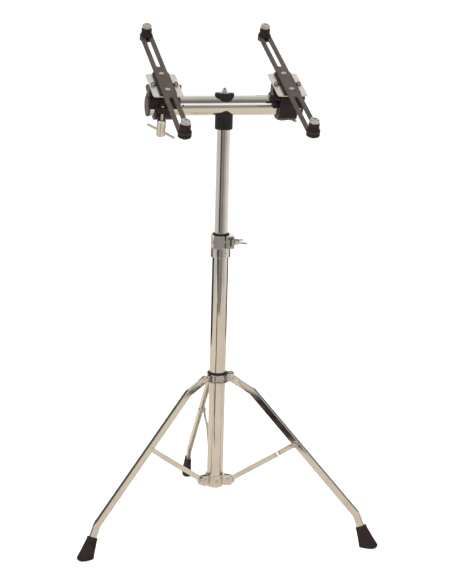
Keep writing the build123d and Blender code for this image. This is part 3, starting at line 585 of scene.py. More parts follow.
def height_clamp():
    """A split block on a skirt, with a T-shaped recess beside the split, which is left unplated."""
    left, right = BLOCK_X
    bottom, top = CLAMP_Z
    skirt = prism(circle(0, 0, CLAMP_R, 4), [circle(0, 0, LOWER_R + 0.02, 4)], 553.5, 573.5, edge=0.5)
    slit = prism(box(-10, -24, -8, -12), [], 550, 572.6, edge=0)
    hole = disc(1.5, -24, -10, place((5.5, 0, 563), (1, 0, 0), (0, 1, 0)), 0.0, 20)

    ear = 4.0
    back = sqrt(CLAMP_R**2 - ear**2)
    start = degrees(atan2(ear, back))
    near, far = SPLIT_X
    block = [(far, BLOCK_FRONT, 0.6), (right, BLOCK_FRONT, 2.2), (right, ear, 1.6), (back, ear)]
    block += arc(0, 0, CLAMP_R, start, 180 - start, 5)[1:-1]
    block += [(-back, ear), (left, ear), (left, BLOCK_FRONT, 2.2), (near, BLOCK_FRONT, 0.6)]
    first, last = (degrees(atan2(-sqrt(CLAMP_BUSH_R**2 - x**2), x)) for x in SPLIT_X)
    block += arc(0, 0, CLAMP_BUSH_R, first, last - 360, 5)
    clamp = prism(rounded(block), [], bottom, top, edge=0.7)

    front = place((0, BLOCK_FRONT, 0), (1, 0, 0), (0, -1, 0))
    stem, bar = (12.8, 16.2), (9.5, 19.5)
    foot_z, arm_z, top_z = 578.5, 591.4, 594.6
    letter = [(bar[0], top_z), (bar[0], arm_z), (stem[0], arm_z), (stem[0], foot_z), (stem[1], foot_z),
              (stem[1], arm_z), (bar[1], arm_z), (bar[1], top_z)]
    depth = 2.7
    recess = prism(rounded(letter, 0.5, 2), [], -depth, 3, front, 0)
    socket = disc(4.6, -1, 5, bolt_frame(left), 0.0, 32)
    bore = disc(3.05, 4, 60, bolt_frame(left), 0.0, 24)

    def is_recess_floor(at, normal):
        on_floor = abs(at.y - BLOCK_FRONT - depth) < 0.2 and normal.y < -0.9
        return on_floor and at.x > 9 and at.z > 578

    piece("height_clamp", "base", "chrome", CHROME_CAST, carve(clamp, recess, socket, bore),
          carve(skirt, slit, hole), inner=(UNPLATED, is_recess_floor))

    r = CLAMP_BUSH_R - 0.1
    bush = [(12.75, bottom), (r, bottom), (r, top + 0.05, 0), (16.8, top + 0.05), (16.8, 600, 0.9),
            (12.75, 600)]
    piece("clamp_bush", "base", "black_plastic", PLASTIC, lathe(rounded(bush, 0.3), segments=72))

    m = bolt_frame(left)
    head = carve(disc(4.45, 0.6, 5, m, 0.6, 36), prism(polygon(0, 0, 2.9, 6), [], 0, 3.2, m, 0))
    piece("clamp_bolt", "base", "chrome", SCREW, head, disc(2.9, 5, 42, m, 0.1, 24),
          thread(2.95, 0.35, 1.0, 42, 51.6, m))


def wing_nut():
    """A coned hub between two wings."""
    start = BLOCK_X[1] + 0.4
    cone = [(0, 0, 0), (6.5, 0), (6.4, 1.8), (5.6, 9), (4.2, 9.4), (3.2, 9.2), (0, 9.2, 0)]
    hub = lathe(rounded(cone, 0.5), bolt_frame(start), 48)
    flat = inside(ROW, (start, *BLOCK_BOLT))
    wings = []
    for end in (-1, 1):
        outline = [(1.2, end * 3.2, 0.5), (7.5, end * 3.4, 3), (13.5, end * 9.0, 8), (20.5, end * 13.2, 5),
                   (21.8, end * 17.0, 2.6), (20.6, end * 19.8, 2.0), (16.6, end * 19.6, 3.2),
                   (9.0, end * 14.6, 9), (2.2, end * 7.2, 2)]
        wings.append(prism(rounded(outline, 1, 7), [], -1.9, 1.9, flat, 1.2, 4))
    piece("wing_nut", "wing_nut", "chrome", CHROME_CAST, hub, *wings)


def outward(angle, height, reach=0.0):
    """A frame whose z points away from the column at that angle."""
    return inside(leg_frame(angle), (reach, height, 0), (0, 1, 0), (1, 0, 0))


def leg_hub():
    """A ring with an ear for each leg, its bush, the rivets and a thumb screw."""
    low, high = HUB_Z
    x, z = HUB_PIVOT
    wall = [(17.54, low, 0.3), (22.2, low), (22.2, 303.4), (20.6, 304.2, 1), (20, 305.6, 1),
            (20, 315.2), (19.2, high), (17.54, high, 0.3)]
    ring = lathe(rounded(wall, 0.6), segments=96)
    ears = []
    for angle in LEGS.values():
        tab = [(18.2, 302.8), (x, z - 6.5, 0)]
        tab += arc(x, z, 6.5, -88, 88, 8) + [(x, z + 6.5, 0), (18.2, 316.5)]
        ears.append(prism(rounded(tab), [], -2.6, 2.6, leg_frame(angle), 0.8))
    seat = disc(4.6, 18, 21.6, outward(HUB_SCREW_AT, z), 0.5, 32)
    between = [LEGS["rear"] + 180, LEGS["right"] - 180]
    cups = [disc(5.4, 18.3, 26, outward(a, z + 0.5), 0.0, 36) for a in between]
    # The hub takes the darker chrome, whose dark base colour is painted shade.
    piece("leg_hub", "hub", "chrome", CHROME_PAINTED_SHADE, carve(fuse(ring, seat, *ears), *cups))

    bush = [(15.93, low, 0), (17.5, low, 0), (17.5, high + 0.05, 0), (20.3, high + 0.05),
            (20.3, 320.6, 1.5), (15.93, 320.6, 0.5)]
    piece("hub_bush", "hub", "black_plastic", PLASTIC, lathe(rounded(bush, 0.5), segments=96))

    head = rounded([(0, 0, 0), (5, 0), (4.9, 0.85, 1.0), (3.2, 1.8, 1.5), (1.4, 1.8, 0.4), (1.1, 1.15, 0.4),
                    (0, 1.15, 0)], 0.3)
    rivets = []
    for angle in LEGS.values():
        m = inside(leg_frame(angle), (x, z, 0))
        rivets.append(disc(2.95, -4.4, 4.4, m, 0.0, 24))
        for end in (-1, 1):
            rivets.append(lathe(head, inside(m, (0, 0, end * 4.35), z=(0, 0, end)), 32))
    piece("hub_rivets", "hub", "chrome", CHROME_CAST, *rivets)

    m = outward(HUB_SCREW_AT, z, LOWER_R - 0.1)
    knob = prism(rounded(toothed(6.3, 7.0, 24), 0.6, 2), [], 12.2, 23, m, 0.9)
    piece("hub_thumb_screw", "hub_screw", "chrome", CHROME_CAST, thread(2.45, 0.3, 0.8, 0.3, 12.3, m), knob)


def legs():
    """Bent channels, open towards the column, each with two cheeks round the hub's ear."""
    deep, wide = LEG_HALF_DEPTH, LEG_HALF_WIDTH
    web, wall = deep - LEG_WALL, wide - LEG_WALL
    outside = [(-deep, -wide, 0.5), (deep, -wide, 1.7), (deep, wide, 1.7), (-deep, wide, 0.5)]
    within = [(-deep, wall, 0.4), (web, wall, 0.7), (web, -wall, 0.7), (-deep, -wall, 0.4)]
    section = rounded(outside + within, steps=5)
    route = bent([Vector(p) for p in LEG_ROUTE], 22)
    d, left = along(*LEG_ROUTE[:2])
    pivot = Vector(HUB_PIVOT)
    route[0] = tuple(pivot + d * 14)
    turn = degrees(atan2(d.y, d.x))
    cheek = arc(*HUB_PIVOT, deep, turn + 90, turn + 270, 7.5)
    cheek += [tuple(pivot + d * 15 - left * deep), tuple(pivot + d * 15 + left * deep)]
    for name, angle in LEGS.items():
        m = leg_frame(angle)
        cheeks = [prism(cheek, [], z0, z1, m, 0.3, 2) for z0, z1 in ((-wide, -wall), (wall, wide))]
        # The channel's inner faces take the pale plating, which is painted light.
        piece(f"leg_{name}", f"leg_{name}", "chrome", CHROME, fuse(sweep(section, route, m), *cheeks),
              sharp=50, inner=(THIN_PLATING_PAINTED_LIGHT, channel_lining(m)))
        rivet(name, m)
        stay(name, m)
        foot(name, m)


def channel_lining(m):
    """The test for the faces inside a leg's channel: thin, duller plating, whose pale colour is painted
    light on faces that lie in shade.
    """
    back = m.inverted()
    turn = back.to_3x3()

    def is_lining(at, normal):
        at, normal = back @ at, turn @ normal
        return abs(at.z) < 2.9 and (abs(normal.z) > 0.5 or normal.x + normal.y < 0)

    return is_lining


def rivet(name, m):
    """Through the leg and the stay's tab, with a washer between the tab and the outer head."""
    pivot = inside(m, (*STAY_PIVOT, 0))
    head = rounded([(0, 0, 0), (4.2, 0), (4.0, 0.7, 0.8), (2.6, 1.4, 1.2), (1.2, 1.4, 0.3), (1.0, 0.9, 0.3),
                    (0, 0.9, 0)], 0.3)
    inner = lathe(head, inside(pivot, (0, 0, -LEG_HALF_WIDTH), z=(0, 0, -1)), 32)
    outer = lathe(head, inside(pivot, (0, 0, 8.0)), 32)
    piece(f"stay_rivet_{name}", f"leg_{name}", "chrome", CHROME_CAST, inner, outer,
          disc(2.15, -4.3, 8.1, pivot, 0.0, 24), tube(6.4, 2.2, 7.0, 8.0, pivot, 0.3, 48))


def stay(name, m):
    """A channel that leans out from the collar, cranked back to a tab on the leg's flank."""
    d = along(COLLAR_PIVOT, STAY_PIVOT)[0]
    length = (Vector(STAY_PIVOT) - Vector(COLLAR_PIVOT)).length
    bar = inside(m, (*COLLAR_PIVOT, 0), (d.x, d.y, 0))
    half, lean, tab_z = 3.5, 8.0, STAY_TAB
    tab_middle, tab_half = sum(tab_z) / 2, (tab_z[1] - tab_z[0]) / 2
    start, end = 14.0, length - 44.0

    def station(at, centre, half_width, edge=1.0):
        ring = rounded(box(-5.0, centre - half_width, 5.0, centre + half_width), edge, 4)
        return [(at, y, z) for y, z in ring]

    def eased(t):
        return t * t * (3 - 2 * t)

    rows = [station(0, 0, half)]
    rows += [station(start + (end - start) * k / 8, lean * k / 8, half) for k in range(9)]
    for t in (0.2, 0.4, 0.6, 0.8, 1.0):
        centre = lean + (tab_middle - lean) * eased(t)
        rows.append(station(end + 10 * t, centre, half + (tab_half - half) * eased(t), 1.0 - 0.4 * t))
    rows.append(station(length - 2, tab_middle, tab_half, 0.6))
    round_end = disc(8.6, -half, half, bar, 1.0, 48)
    eye = prism(circle(length, 0, 7), [], *tab_z, bar, 0.5)
    slope = lean / (end - start)
    ends = ((start + 10, 10 * slope), (end - 6, lean - 6 * slope))
    hollow = loft([[(at, y, z) for y, z in box(-8, centre - 1.9, 3.4, centre + 1.9)]
                   for at, centre in ends], bar)
    hole = disc(5.2, 0, 12, inside(bar, (length, 0, 0)), 0.0, 40)
    piece(f"stay_{name}", f"stay_{name}", "chrome", CHROME,
          carve(fuse(loft(rows, bar), round_end, eye), hollow, hole), sharp=50)


def foot(name, m):
    """A moulded rubber boot: a lip round the leg, then a flare to a domed sole with a flat."""
    d = along(LEG_ROUTE[2], LEG_ROUTE[3])[0]
    top = Vector(LEG_ROUTE[3]) - d * 22
    boot_frame = inside(m, (top.x, top.y, 0), (0, 0, 1), (d.x, d.y, 0))
    levels = [(0.0, 5.6, 10.2), (0.5, 6.1, 10.8), (1.4, 6.3, 11.1), (3.2, 6.3, 11.1), (4.2, 6.1, 10.9),
              (10, 6.6, 11.9), (18, 7.3, 13.4), (26, 7.8, 14.8), (34, 8.3, 16.6), (40, 8.7, 18.2),
              (44.5, 8.9, 19.1), (47.6, 8.4, 18.4), (49.4, 7.2, 16.2), (50.3, 5.2, 12.0), (50.6, 2.2, 5.0)]
    rows = []
    for z, half_x, half_y in levels:
        power = 3.6 - 1.0 * min(1.0, z / 40)
        row = []
        for i in range(48):
            t = 2 * pi * i / 48
            k = (abs(cos(t)) ** power + abs(sin(t)) ** power) ** (-1 / power)
            row.append((half_x * k * cos(t), half_y * k * sin(t), z))
        rows.append(row)
    pocket_x, pocket_y = LEG_HALF_WIDTH + 0.05, LEG_HALF_DEPTH + 0.05
    outline = rounded(box(-pocket_x, -pocket_y, pocket_x, pocket_y), 1.7)
    boot = carve(loft(rows, boot_frame), prism(outline, [], -2, 21, boot_frame, 0))
    for v in boot.verts:
        v.co.z = max(v.co.z, 0.0)
    bmesh.ops.remove_doubles(boot, verts=boot.verts, dist=0.001)
    piece(f"foot_{name}", f"leg_{name}", "rubber", RUBBER, boot, sharp=60)


def lower_collar():
    """A ring with a pair of ears for each stay, the stays' pins, and a set screw in a flat pad."""
    low, high = COLLAR_Z
    x, z = COLLAR_PIVOT
    ring = lathe(rounded([(15.9, low, 0.3), (20, low), (20, high), (15.9, high, 0.3)], 0.7), segments=96)
    ears = []
    for angle in LEGS.values():
        ear = arc(x, z, 10.5, -90, 90, 7.5) + [(15.9, high), (15.9, low)]
        for z0, z1 in ((-6.3, -3.7), (3.7, 6.3)):
            ears.append(prism(ear, [], z0, z1, leg_frame(angle), 0.5))
    bore = disc(15.9, 80, 120, ROW, 0.0, 96)
    gaps = [prism(box(20.4, 80, 45, 120), [], -3.68, 3.68, leg_frame(a), 0) for a in LEGS.values()]
    pad_at = LEGS["rear"] + 180
    flat = prism(rounded(box(14, 90.2, 21.2, 109.8), 0.8), [], -7.5, 7.5, leg_frame(pad_at), 0.8)
    tap = disc(2.6, 18, 24, outward(pad_at, z), 0.0, 24)
    piece("lower_collar", "base", "chrome", CHROME_CAST, carve(fuse(ring, flat, *ears), bore, tap, *gaps))

    cap = rounded([(0, 6.25, 0), (4.8, 6.25), (4.7, 7.0, 0.8), (3.4, 7.85, 1.4), (0, 7.9, 0)], 0.3)
    pins = []
    for angle in LEGS.values():
        m = inside(leg_frame(angle), (x, z, 0))
        pins.append(disc(2.95, -6.4, 6.4, m, 0.0, 24))
        for end in (-1, 1):
            head = inside(m, z=(0, 0, end))
            slot = prism(box(-0.5, -6, 0.5, 6), [], 7.2, 9, inside(head, x=(0.8, 0.6, 0)), 0)
            pins.append(carve(lathe(cap, head, 32), slot))
    piece("collar_pins", "base", "chrome", CHROME_CAST, *pins)

    m = outward(pad_at, z)
    screw = carve(disc(2.35, 16.2, 20.75, m, 0.3, 28), prism(polygon(0, 0, 1.4, 6), [], 18.8, 23, m, 0))
    piece("collar_screw", "base", "chrome", SCREW, screw)


def cross_bar():
    """The cross tube with its caps, and the sleeve, saddle and bolt that hold it on the column."""
    bar = place((0, 0, BAR_Z), (0, 1, 0), (1, 0, 0))
    pipe = tube(BAR_R, BAR_R - TUBE_WALL, -BAR_HALF, BAR_HALF, bar, 0.3, 128)
    bolt_way = disc(3.2, -30, 30, place((0, 0, BAR_Z)), 0.0, 24)
    hole = disc(1.8, 10, 30, place((-84, 0, BAR_Z + 2.5), (1, 0, 0), (0, -1, 0)), 0.0, 24)
    piece("cross_tube", "bar", "chrome", CHROME_TUBE, carve(pipe, bolt_way, hole), sharp=60)

    cap = rounded([(15.4, -12, 0.4), (17.4, -12, 0.6), (17.4, 0.02, 0), (20.3, 0.02, 0.6), (20.3, 5, 1.8),
                   (17.6, 5, 0.6), (16.8, 4.4, 0.6), (0, 4.4, 0), (0, 1.5, 0), (15.4, 1.5, 0.6)])
    ends = [place((end * BAR_HALF, 0, BAR_Z), (0, 1, 0), (end, 0, 0)) for end in (-1, 1)]
    piece("bar_end_caps", "bar", "end_cap", END_CAP, *[lathe(cap, m, 96) for m in ends])

    sleeve = lathe(rounded([(12.75, 804), (16.3, 804, 0.8), (17.2, 805.5, 1.2), (17.2, 860, 0), (0, 860, 0),
                            (0, 826.5, 0), (12.75, 826.5, 0)], 0.5), segments=96)
    groove = lathe(rounded([(17.0, 829.3), (17.6, 829.3), (17.6, 830.1), (17.0, 830.1)]), segments=96)
    piece("bar_sleeve", "bar", "black_plastic", PLASTIC,
          carve(sleeve, disc(BAR_R + 0.02, -60, 60, bar, 0.0, 128), groove), sharp=35)
    saddle = lathe(rounded([(3.2, 860, 0), (18.4, 860, 0), (18.8, 870, 2), (18.8, 872.4, 1.2),
                            (17.4, 874, 0.6), (3.2, 874, 0)]), segments=96)
    piece("saddle_cap", "bar", "black_plastic", PLASTIC,
          carve(saddle, disc(BAR_R + 0.02, -60, 60, bar, 0.0, 128)), sharp=35)

    washer = tube(14, 3.2, 874, 875.6, ROW, 0.5, 64)
    nut = prism(polygon(0, 0, 5.2, 6, 15), [], 875.6, 878.8, ROW, 0.3)
    collar = lathe(rounded([(3.05, 878.7), (4.2, 878.7), (4.0, 879.6), (3.05, 879.6)], 0.2), segments=32)
    rod = thread(3.0, 0.35, 1.0, 870, 884, ROW, 24)
    piece("bar_bolt", "bar", "chrome", SCREW, washer, nut, collar, rod, disc(2.9, 828, 871, ROW, 0.0, 24))


def clamp(side_name, side):
    """Along the cross tube's axis: a body over the tube, a jaw round it, and a T-screw through both.

    c is the clamp's own frame, and s the one square to the tube.
    """
    c = clamp_frame(side)
    s = side_frame(c)
    body_name = f"clamp_{side_name}"
    liner = arc(0, 0, 20.5, -86, 266, 4) + arc(0, 0, 19.1, 266, -86, 4)
    piece(f"clamp_liner_{side_name}", f"liner_{side_name}", "black_plastic", PLASTIC,
          prism(liner, [], -17, 17, s, 0.25, 2))
    clamp_body(side_name, c, s)
    clamp_jaw(side_name, c, s)

    pin = [(0, -30.4, 0), (2.3, -30.4), (2.95, -29.4), (2.95, 30.05, 0), (5.2, 30.05),
           (5.2, 36.6), (4.2, 38), (2.2, 38, 0.3), (2.0, 36.6, 0.3), (0, 36.6, 0)]
    piece(f"hinge_pin_{side_name}", body_name, "chrome", CAST,
          lathe(rounded(pin, 0.3), inside(s, (*HINGE, 0)), 40))

    screw = inside(c, (*T_SCREW, 0))
    boss = lathe(rounded([(0, -47.5, 0), (7.2, -47.5, 0.8), (8.6, -45.8, 1.2), (8.6, -16.5, 1.0),
                          (7.4, -14.6, 0.8), (6.0, -13.7, 0.4), (0, -13.7, 0)]), screw, 64)
    rod_frame = inside(c, (*T_SCREW, -38), (0, 0, 1), (cos(ROD_TURN), -sin(ROD_TURN), 0))
    way = disc(2.6, -12, 12, rod_frame, 0.0, 28)
    piece(f"clamp_screw_{side_name}", f"screw_{side_name}", "chrome", CHROME_CAST, carve(boss, way),
          thread(3.0, 0.4, 1.25, -14, 16, screw, 24))
    tip = [(2.5, 30.4), (2.1, 31), (2.1, 32), (2.5, 32.6), (2.5, 35), (1.6, 36), (0, 36, 0)]
    rod = [(r, -z, *edge) for r, z, *edge in tip[::-1]] + tip
    piece(f"clamp_rod_{side_name}", f"rod_{side_name}", "chrome", CHROME,
          lathe(rounded(rod, 0.25, 2), rod_frame, 32))
    arm(side_name, c, body_name)


def clamp_lug(c, z0, z1, start=-16):
    """A lug that the T-screw goes through."""
    outline = rounded([(-16, start, 0.5), (3, start, 0.5), (3, -40, 5.5), (-16, -40, 5.5)], 0.5, 6)
    return prism(outline, [circle(*T_SCREW, 3.1)], z0, z1, c, 1.0)


def clamp_body(side_name, c, s):
    """Two cheeks, a middle between them that leaves room for the jaw, the upper lug and two ribs."""
    top_y = PLATE_Z[0]
    bore = arc(0, 0, CLAMP_BORE_R, 14, 166, 5)
    over = [(-25.5, 5.0, 0.8)] + arc(0, 0, CHEEK_R, 169, 114, 6)
    over += [(-10, 25.5, 2.5), (-10, top_y, 1.0), (10, top_y, 1.0)]
    hinge = [(10, 33.5, 2.5), (24, 33.2, 0)] + arc(*HINGE, KNUCKLE_R, 86, -95, 9) + [(14.4, 22.2, 2)]
    down = arc(0, 0, CHEEK_R, 56, 11.1, 6) + [(25.5, 5.0, 0.8), (20, 5.0, 0.8)]
    cheek = rounded(over + hinge + down + bore + [(-20, 5.0, 0.8)])
    cheeks = [prism(cheek, [], z0, z1, s, 1.0) for z0, z1 in ((-30, -18.3), (18.3, 30))]
    step = [(10, 33.5, 1.5), (17.5, 33.5, 1.5), (17.5, 20.5, 1.5), (20.8, 15.6, 1), (20.8, 5.0, 0.8)]
    middle = prism(rounded(over + step + bore + [(-20, 5.0, 0.8)]), [], -19, 19, s, 0.4)
    rib = rounded([(-24, 5.2), (-36, 5.2, 2), (-30, 12, 3), (-22, 15, 2)], 0.5, 3)
    ribs = [prism(rib, [], z0, z0 + 3.4, s, 0.6) for z0 in (-18.5, 2.2)]
    piece(f"clamp_body_{side_name}", f"clamp_{side_name}", "cast_black", CAST,
          middle, *cheeks, clamp_lug(c, 1.5, 13), *ribs, sharp=45)


def clamp_jaw(side_name, c, s):
    """It wraps the tube from the hinge round to the lower lug."""
    outline = arc(0, 0, 26.8, 180.8, 296, 5)
    outline += [(14.5, -22, 2), (22, -22, 2.2), (31, -13, 2.5), (31, 14, 3), (29.8, 26.5, 0)]
    outline += arc(*HINGE, KNUCKLE_R, 0, 180, 9) + [(21.2, 12, 1.5), (21.2, 3, 1)]
    outline += arc(0, 0, CLAMP_BORE_R, 4, -178, 5)
    jaw = prism(rounded(outline), [circle(*HINGE, 3.05)], -18, 18, s, 0.9)
    lug = carve(clamp_lug(c, -13.5, -3, start=-14), disc(CLAMP_BORE_R, -40, 40, s, 0.0, 96))
    piece(f"clamp_jaw_{side_name}", f"clamp_{side_name}", "cast_black", CAST, jaw, lug, sharp=45)


def arm(side_name, c, body_name):
    """Plate, spacer and slotted arm, stacked on the clamp, with their bolts, screws and posts."""
    bottom, top = PLATE_Z
    bolts = [(-21.7, 0), (21.7, 0)]
    screws = [(0, -34.4), (0, 34.4)]
    screw_holes = [circle(x, y, 2.5, 15) for x, y in screws]
    holes = [circle(x, y, 2.5, 15) for x, y in bolts] + [circle(x, y, 2.4, 15) for x, y in screws]
    piece(f"arm_plate_{side_name}", body_name, "satin_plate", SATIN,
          prism(rounded(box(-29, -49, 29, 49), 5, 6), holes, bottom, top, c, 0.45))

    dome = rounded([(0, 43.35, 0), (4.8, 43.35), (4.8, 45.8, 1.5), (3.0, 48.6, 2.2), (0, 48.9, 0)], 0.4)
    made = []
    for x, y in bolts:
        m = inside(c, (x, y, 0))
        made.append(carve(lathe(dome, m, 40), prism(polygon(0, 0, 1.9, 6), [], 46.4, 50, m, 0)))
        made.append(disc(2.45, 32, 43.4, m, 0.1, 24))
    piece(f"plate_bolts_{side_name}", body_name, "bolt_steel", BOLT, *made)

    piece(f"arm_spacer_{side_name}", body_name, "black_plastic", PLASTIC,
          prism(rounded(box(-16, -48, 16, 48), 3, 5), screw_holes, top, ARM_Z[0], c, 0.5))
    outline = arc(0, 208.5, 13, 0, 180, 6) + arc(0, -208.5, 13, 180, 360, 6)
    slots = [arc(0, middle + 70, 4, 0, 180, 10) + arc(0, middle - 70, 4, 180, 360, 10)
             for middle in (-140, 140)]
    piece(f"slotted_arm_{side_name}", body_name, "powder_coat", POWDER,
          prism(outline, slots + screw_holes, *ARM_Z, c, 0.45))

    head = rounded([(0, 50.5, 0), (5.6, 50.5), (5.5, 51.2, 0.5), (3.8, 52.25, 1.0), (0, 52.3, 0)], 0.3)
    made = []
    for x, y in screws:
        m = inside(c, (x, y, 0))
        cross = [prism(box(-2.4, -0.55, 2.4, 0.55), [], 51.2, 54, inside(m, x=way), 0)
                 for way in ((0.9, 0.44, 0), (-0.44, 0.9, 0))]
        made.append(carve(lathe(head, m, 40), *cross))
        made.append(disc(2.35, 35.5, 50.6, m, 0.3, 24))
        made.append(prism(polygon(0, 0, 5, 6), [], 36.9, 41.25, m, 0.4))
    piece(f"arm_screws_{side_name}", body_name, "bolt_steel", SCREW, *made)
    for end in ("front", "rear"):
        y = 210 if (end == "rear") == (side_name == "left") else -210
        post(f"{side_name}_{end}", inside(c, (0, y, 0)))


def post(name, m):
    """A rubber bumper above and below the arm's end, and the knurled cap's bolt through both."""
    bumper = [(3.05, 50.55, 0), (12.8, 50.55, 0.8), (12.8, 52.4, 1.0), (10.9, 54.8, 2.5), (10.15, 58.5, 5),
              (10.2, 66.3, 0.7), (9.6, 67.0, 0.3), (3.05, 67.0, 0)]
    under = [(3.05, 41.2), (12.2, 41.2), (12.8, 42.4), (12.8, 47.45), (3.05, 47.45)]
    piece(f"post_bumper_{name}", f"post_{name}", "rubber", RUBBER, lathe(rounded(bumper), m, 64),
          lathe(rounded(under, 0.5), m, 64), sharp=50)
    knurl = prism(toothed(8.62, 9.0, 96), [], 67.05, 72.2, m, 0.5, 2)
    top = lathe(rounded([(0, 71.5, 0), (8.5, 71.5, 0), (8.5, 73.2, 0.8), (7.3, 74.8, 1.0), (5.2, 75.0, 0.4),
                         (4.6, 74.3, 0.4), (3.6, 74.3, 0.3), (3.4, 74.9, 0.4), (0, 74.9, 0)], 0.2), m, 64)
    cap = carve(fuse(knurl, top), prism(polygon(0, 0, 2.9, 6), [], 72.4, 80, m, 0))
    shank = disc(3.0, 40.5, 67.2, m, 0.0, 24)
    end = thread(3.0, 0.35, 1.0, 35.7, 40.6, m, 24)
    nut = prism(polygon(0, 0, 5.5, 6, 10), [], 36.7, 41.15, m, 0.5)
    piece(f"post_cap_{name}", f"post_{name}", "cap_silver", SILVER, cap, shank, end, nut, sharp=45)


column()
height_clamp()
wing_nut()
leg_hub()
legs()
lower_collar()
cross_bar()
for side_name, side in SIDES.items():
    clamp(side_name, side)


# --- floor, light and camera ---


def turned(x, y):
    """A point given along the camera's own left-right and front-back directions."""
    a = radians(VIEW_TURN)
    return (x * cos(a) - y * sin(a), x * sin(a) + y * cos(a))


def seen_or(tree, seen, other):
    """One shader to the camera and another to every other ray."""
    join = add_node(tree, "ShaderNodeMixShader")
    tree.links.new(add_node(tree, "ShaderNodeLightPath").outputs["Is Camera Ray"], join.inputs[0])
    tree.links.new(other, join.inputs[1])
    tree.links.new(seen, join.inputs[2])
    return join.outputs[0]


def sheet(name, corners, height, material):
    """A level sheet whose corners are given along the camera's own directions."""
    bm = bmesh.new()
    bm.faces.new([bm.verts.new((*turned(x, y), height)) for x, y in corners])
    mesh = to_mesh(bm, name)
    mesh.materials.append(material)
    return add_object(name, mesh)


def paper():
    """White to the camera, and a warm bounce for the stand."""
    m = bpy.data.materials.new("paper")
    m.use_nodes = True
    tree = m.node_tree
    tree.nodes.clear()
    pale, warm = add_node(tree, "ShaderNodeBsdfDiffuse"), add_node(tree, "ShaderNodeBsdfDiffuse")
    pale.inputs["Color"].default_value = (0.97, 0.965, 0.955, 1)
    warm.inputs["Color"].default_value = (0.96, 0.885, 0.765, 1)
    glow = add_node(tree, "ShaderNodeEmission")
    glow.inputs["Color"].default_value = (1, 1, 1, 1)
    glow.inputs["Strength"].default_value = 0.62
    both = add_node(tree, "ShaderNodeAddShader")
    tree.links.new(pale.outputs[0], both.inputs[0])
    tree.links.new(glow.outputs[0], both.inputs[1])
    out = add_node(tree, "ShaderNodeOutputMaterial")
    tree.links.new(seen_or(tree, both.outputs[0], warm.outputs[0]), out.inputs["Surface"])
    return m


def floor():
    """Wider at its far end, as the view is."""
    sheet("floor", ((-1.7, -1.75), (1.7, -1.75), (3.2, 18), (-3.2, 18)), 0, paper())


def polar(reach, degrees_right):
    """A point on the floor at that bearing to the right of the camera's own."""
    a = radians(degrees_right)
    return (reach * sin(a), -reach * cos(a))


def cards():
    """Dark cards on the floor, which only the chrome sees. Corners are (distance, bearing)."""
    corners = {
        "card_strip": ((0.72, -31), (1.9, -31), (1.9, -19), (0.80, -19)),
        "card_patch": ((1.01, -36.5), (0.96, -28), (0.53, -10), (0.62, -27)),
        "card_left": ((1.55, -98), (2.9, -98), (2.9, -150), (1.55, -150)),
        "card_right": ((1.55, 118), (2.9, 118), (2.9, 160), (1.55, 160)),
        "card_knee": ((0.93, 76), (1.02, 77), (1.02, 81), (0.93, 80)),
    }
    for name, places in corners.items():
        o = sheet(name, [polar(*at) for at in places], 0.002, CARD)
        o.visible_camera = o.visible_diffuse = o.visible_shadow = False


def area_light(name, at, target, size, power, color=(1, 1, 1)):
    data = bpy.data.lights.new(name, "AREA")
    data.shape = "RECTANGLE"
    data.size, data.size_y = size
    data.energy = power
    data.color = color
    o = add_object(name, data)
    o.location = at
    o.rotation_euler = (Vector(target) - Vector(at)).to_track_quat("-Z", "Y").to_euler()
    o.visible_camera = o.visible_glossy = False


def lights():
    """Soft lights from both sides and from above, which reflections don't show."""
    warm = (1.0, 0.99, 0.97)
    area_light("key", (*turned(-2.6, -2.6), 2.6), (0, 0, 0.6), (1.2, 0.9), 34, warm)
    area_light("fill", (*turned(2.8, -1.8), 2.0), (0, 0, 0.5), (1.0, 1.0), 9, warm)
    area_light("top", (*turned(0, 0.8), 3.6), (0, 0.3, 0), (2.2, 2.2), 40)


def bearing(degrees_right):
    """Where a bearing, counted to the right of the camera's own, lies on a radial gradient."""
    return ((-90 + VIEW_TURN + degrees_right + 180) / 360) % 1.0


def lift(degrees_up):
    """Where an angle above the horizon lies between straight down, 0, and straight up, 1."""
    return (sin(radians(degrees_up)) + 1) / 2


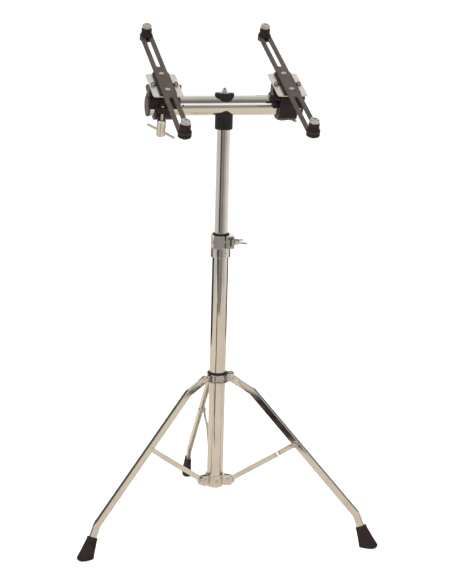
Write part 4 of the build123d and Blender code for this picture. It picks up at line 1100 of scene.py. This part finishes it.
def studio():
    """White to the camera. To reflections, a room with a dark front under one bright strip."""
    world = bpy.data.worlds.new("studio")
    bpy.context.scene.world = world
    world.use_nodes = True
    tree = world.node_tree
    tree.nodes.clear()
    way = add_node(tree, "ShaderNodeTexCoord").outputs["Generated"]
    split = add_node(tree, "ShaderNodeSeparateXYZ")
    tree.links.new(way, split.inputs[0])
    height = add_node(tree, "ShaderNodeMapRange")
    height.inputs["From Min"].default_value = -1
    tree.links.new(split.outputs["Z"], height.inputs["Value"])
    circuit = add_node(tree, "ShaderNodeTexGradient", gradient_type="RADIAL")
    tree.links.new(way, circuit.inputs["Vector"])

    def upwards(*stops):
        """Greys at angles above the horizon."""
        places = [(lift(degrees_up), grey) for degrees_up, grey in stops]
        return add_ramp(tree, height.outputs["Result"], places, ROOM_TINT)

    def around(*stops):
        """Greys or colours at bearings."""
        places = sorted((bearing(degrees_right), color) for degrees_right, color in stops)
        return add_ramp(tree, circuit.outputs["Color"], places, ROOM_TINT)

    def mix(factor, a, b):
        made = add_node(tree, "ShaderNodeMix", data_type="RGBA")
        for socket, source in zip((0, 6, 7), (factor, a, b)):
            tree.links.new(source, made.inputs[socket])
        return made.outputs[2]

    purple = (0.045, 0.022, 0.040)
    low = around((-150, 1.00), (-106, 0.66), (-80, 0.72), (-58, 0.66), (-46, 0.58), (-42, purple),
                 (-32, purple), (-25, 0.13), (-8, 0.30), (6, 0.30), (16, 0.18), (32, 0.46), (54, 0.50),
                 (75, 0.78), (100, 0.80), (150, 1.05))
    front = upwards((-90, 0.6), (-10, 0.35), (8, 0.50), (15, 1.30), (26, 1.30), (35, 0.28), (52, 0.17),
                    (66, 0.30), (80, 0.46), (90, 0.56))
    back = upwards((-90, 0.8), (-5, 1.05), (28, 1.10), (45, 0.85), (60, 0.75), (90, 0.56))
    sides = upwards((-90, 0.8), (2, 0.55), (12, 0.25), (30, 0.10), (48, 0.16), (60, 0.7), (90, 0.56))
    is_front = around((-80, 0.0), (-50, 1.0), (50, 1.0), (90, 0.0))
    is_back = around((-150, 1.0), (-140, 0.0), (150, 0.0), (158, 1.0))
    is_low = upwards((-1, 1.0), (7, 0.0))

    room = add_node(tree, "ShaderNodeBackground")
    upper = mix(is_front, mix(is_back, sides, back), front)
    tree.links.new(mix(is_low, upper, low), room.inputs["Color"])
    white = add_node(tree, "ShaderNodeBackground")
    white.inputs["Color"].default_value = (1, 1, 1, 1)
    out = add_node(tree, "ShaderNodeOutputWorld")
    tree.links.new(seen_or(tree, white.outputs[0], room.outputs[0]), out.inputs["Surface"])


def camera():
    """A long lens, a little to the left of the stand and above it, with a slight roll."""
    data = bpy.data.cameras.new("camera")
    data.sensor_width = 36.0
    data.lens = 126.4062
    data.shift_y = -0.015411
    data.clip_start, data.clip_end = 0.05, 60
    down, roll = radians(76.78), radians(1.51)
    o = add_object("camera", data)
    o.matrix_world = (
        Matrix.Translation((-0.8552, -3.8074, 1.4171))
        @ Euler((0, 0, radians(VIEW_TURN))).to_matrix().to_4x4()
        @ Euler((down, 0, 0)).to_matrix().to_4x4()
        @ Euler((0, 0, roll)).to_matrix().to_4x4()
    )
    bpy.context.scene.camera = o


floor()
studio()
cards()
lights()
camera()
bpy.context.scene.view_settings.view_transform = "Standard"
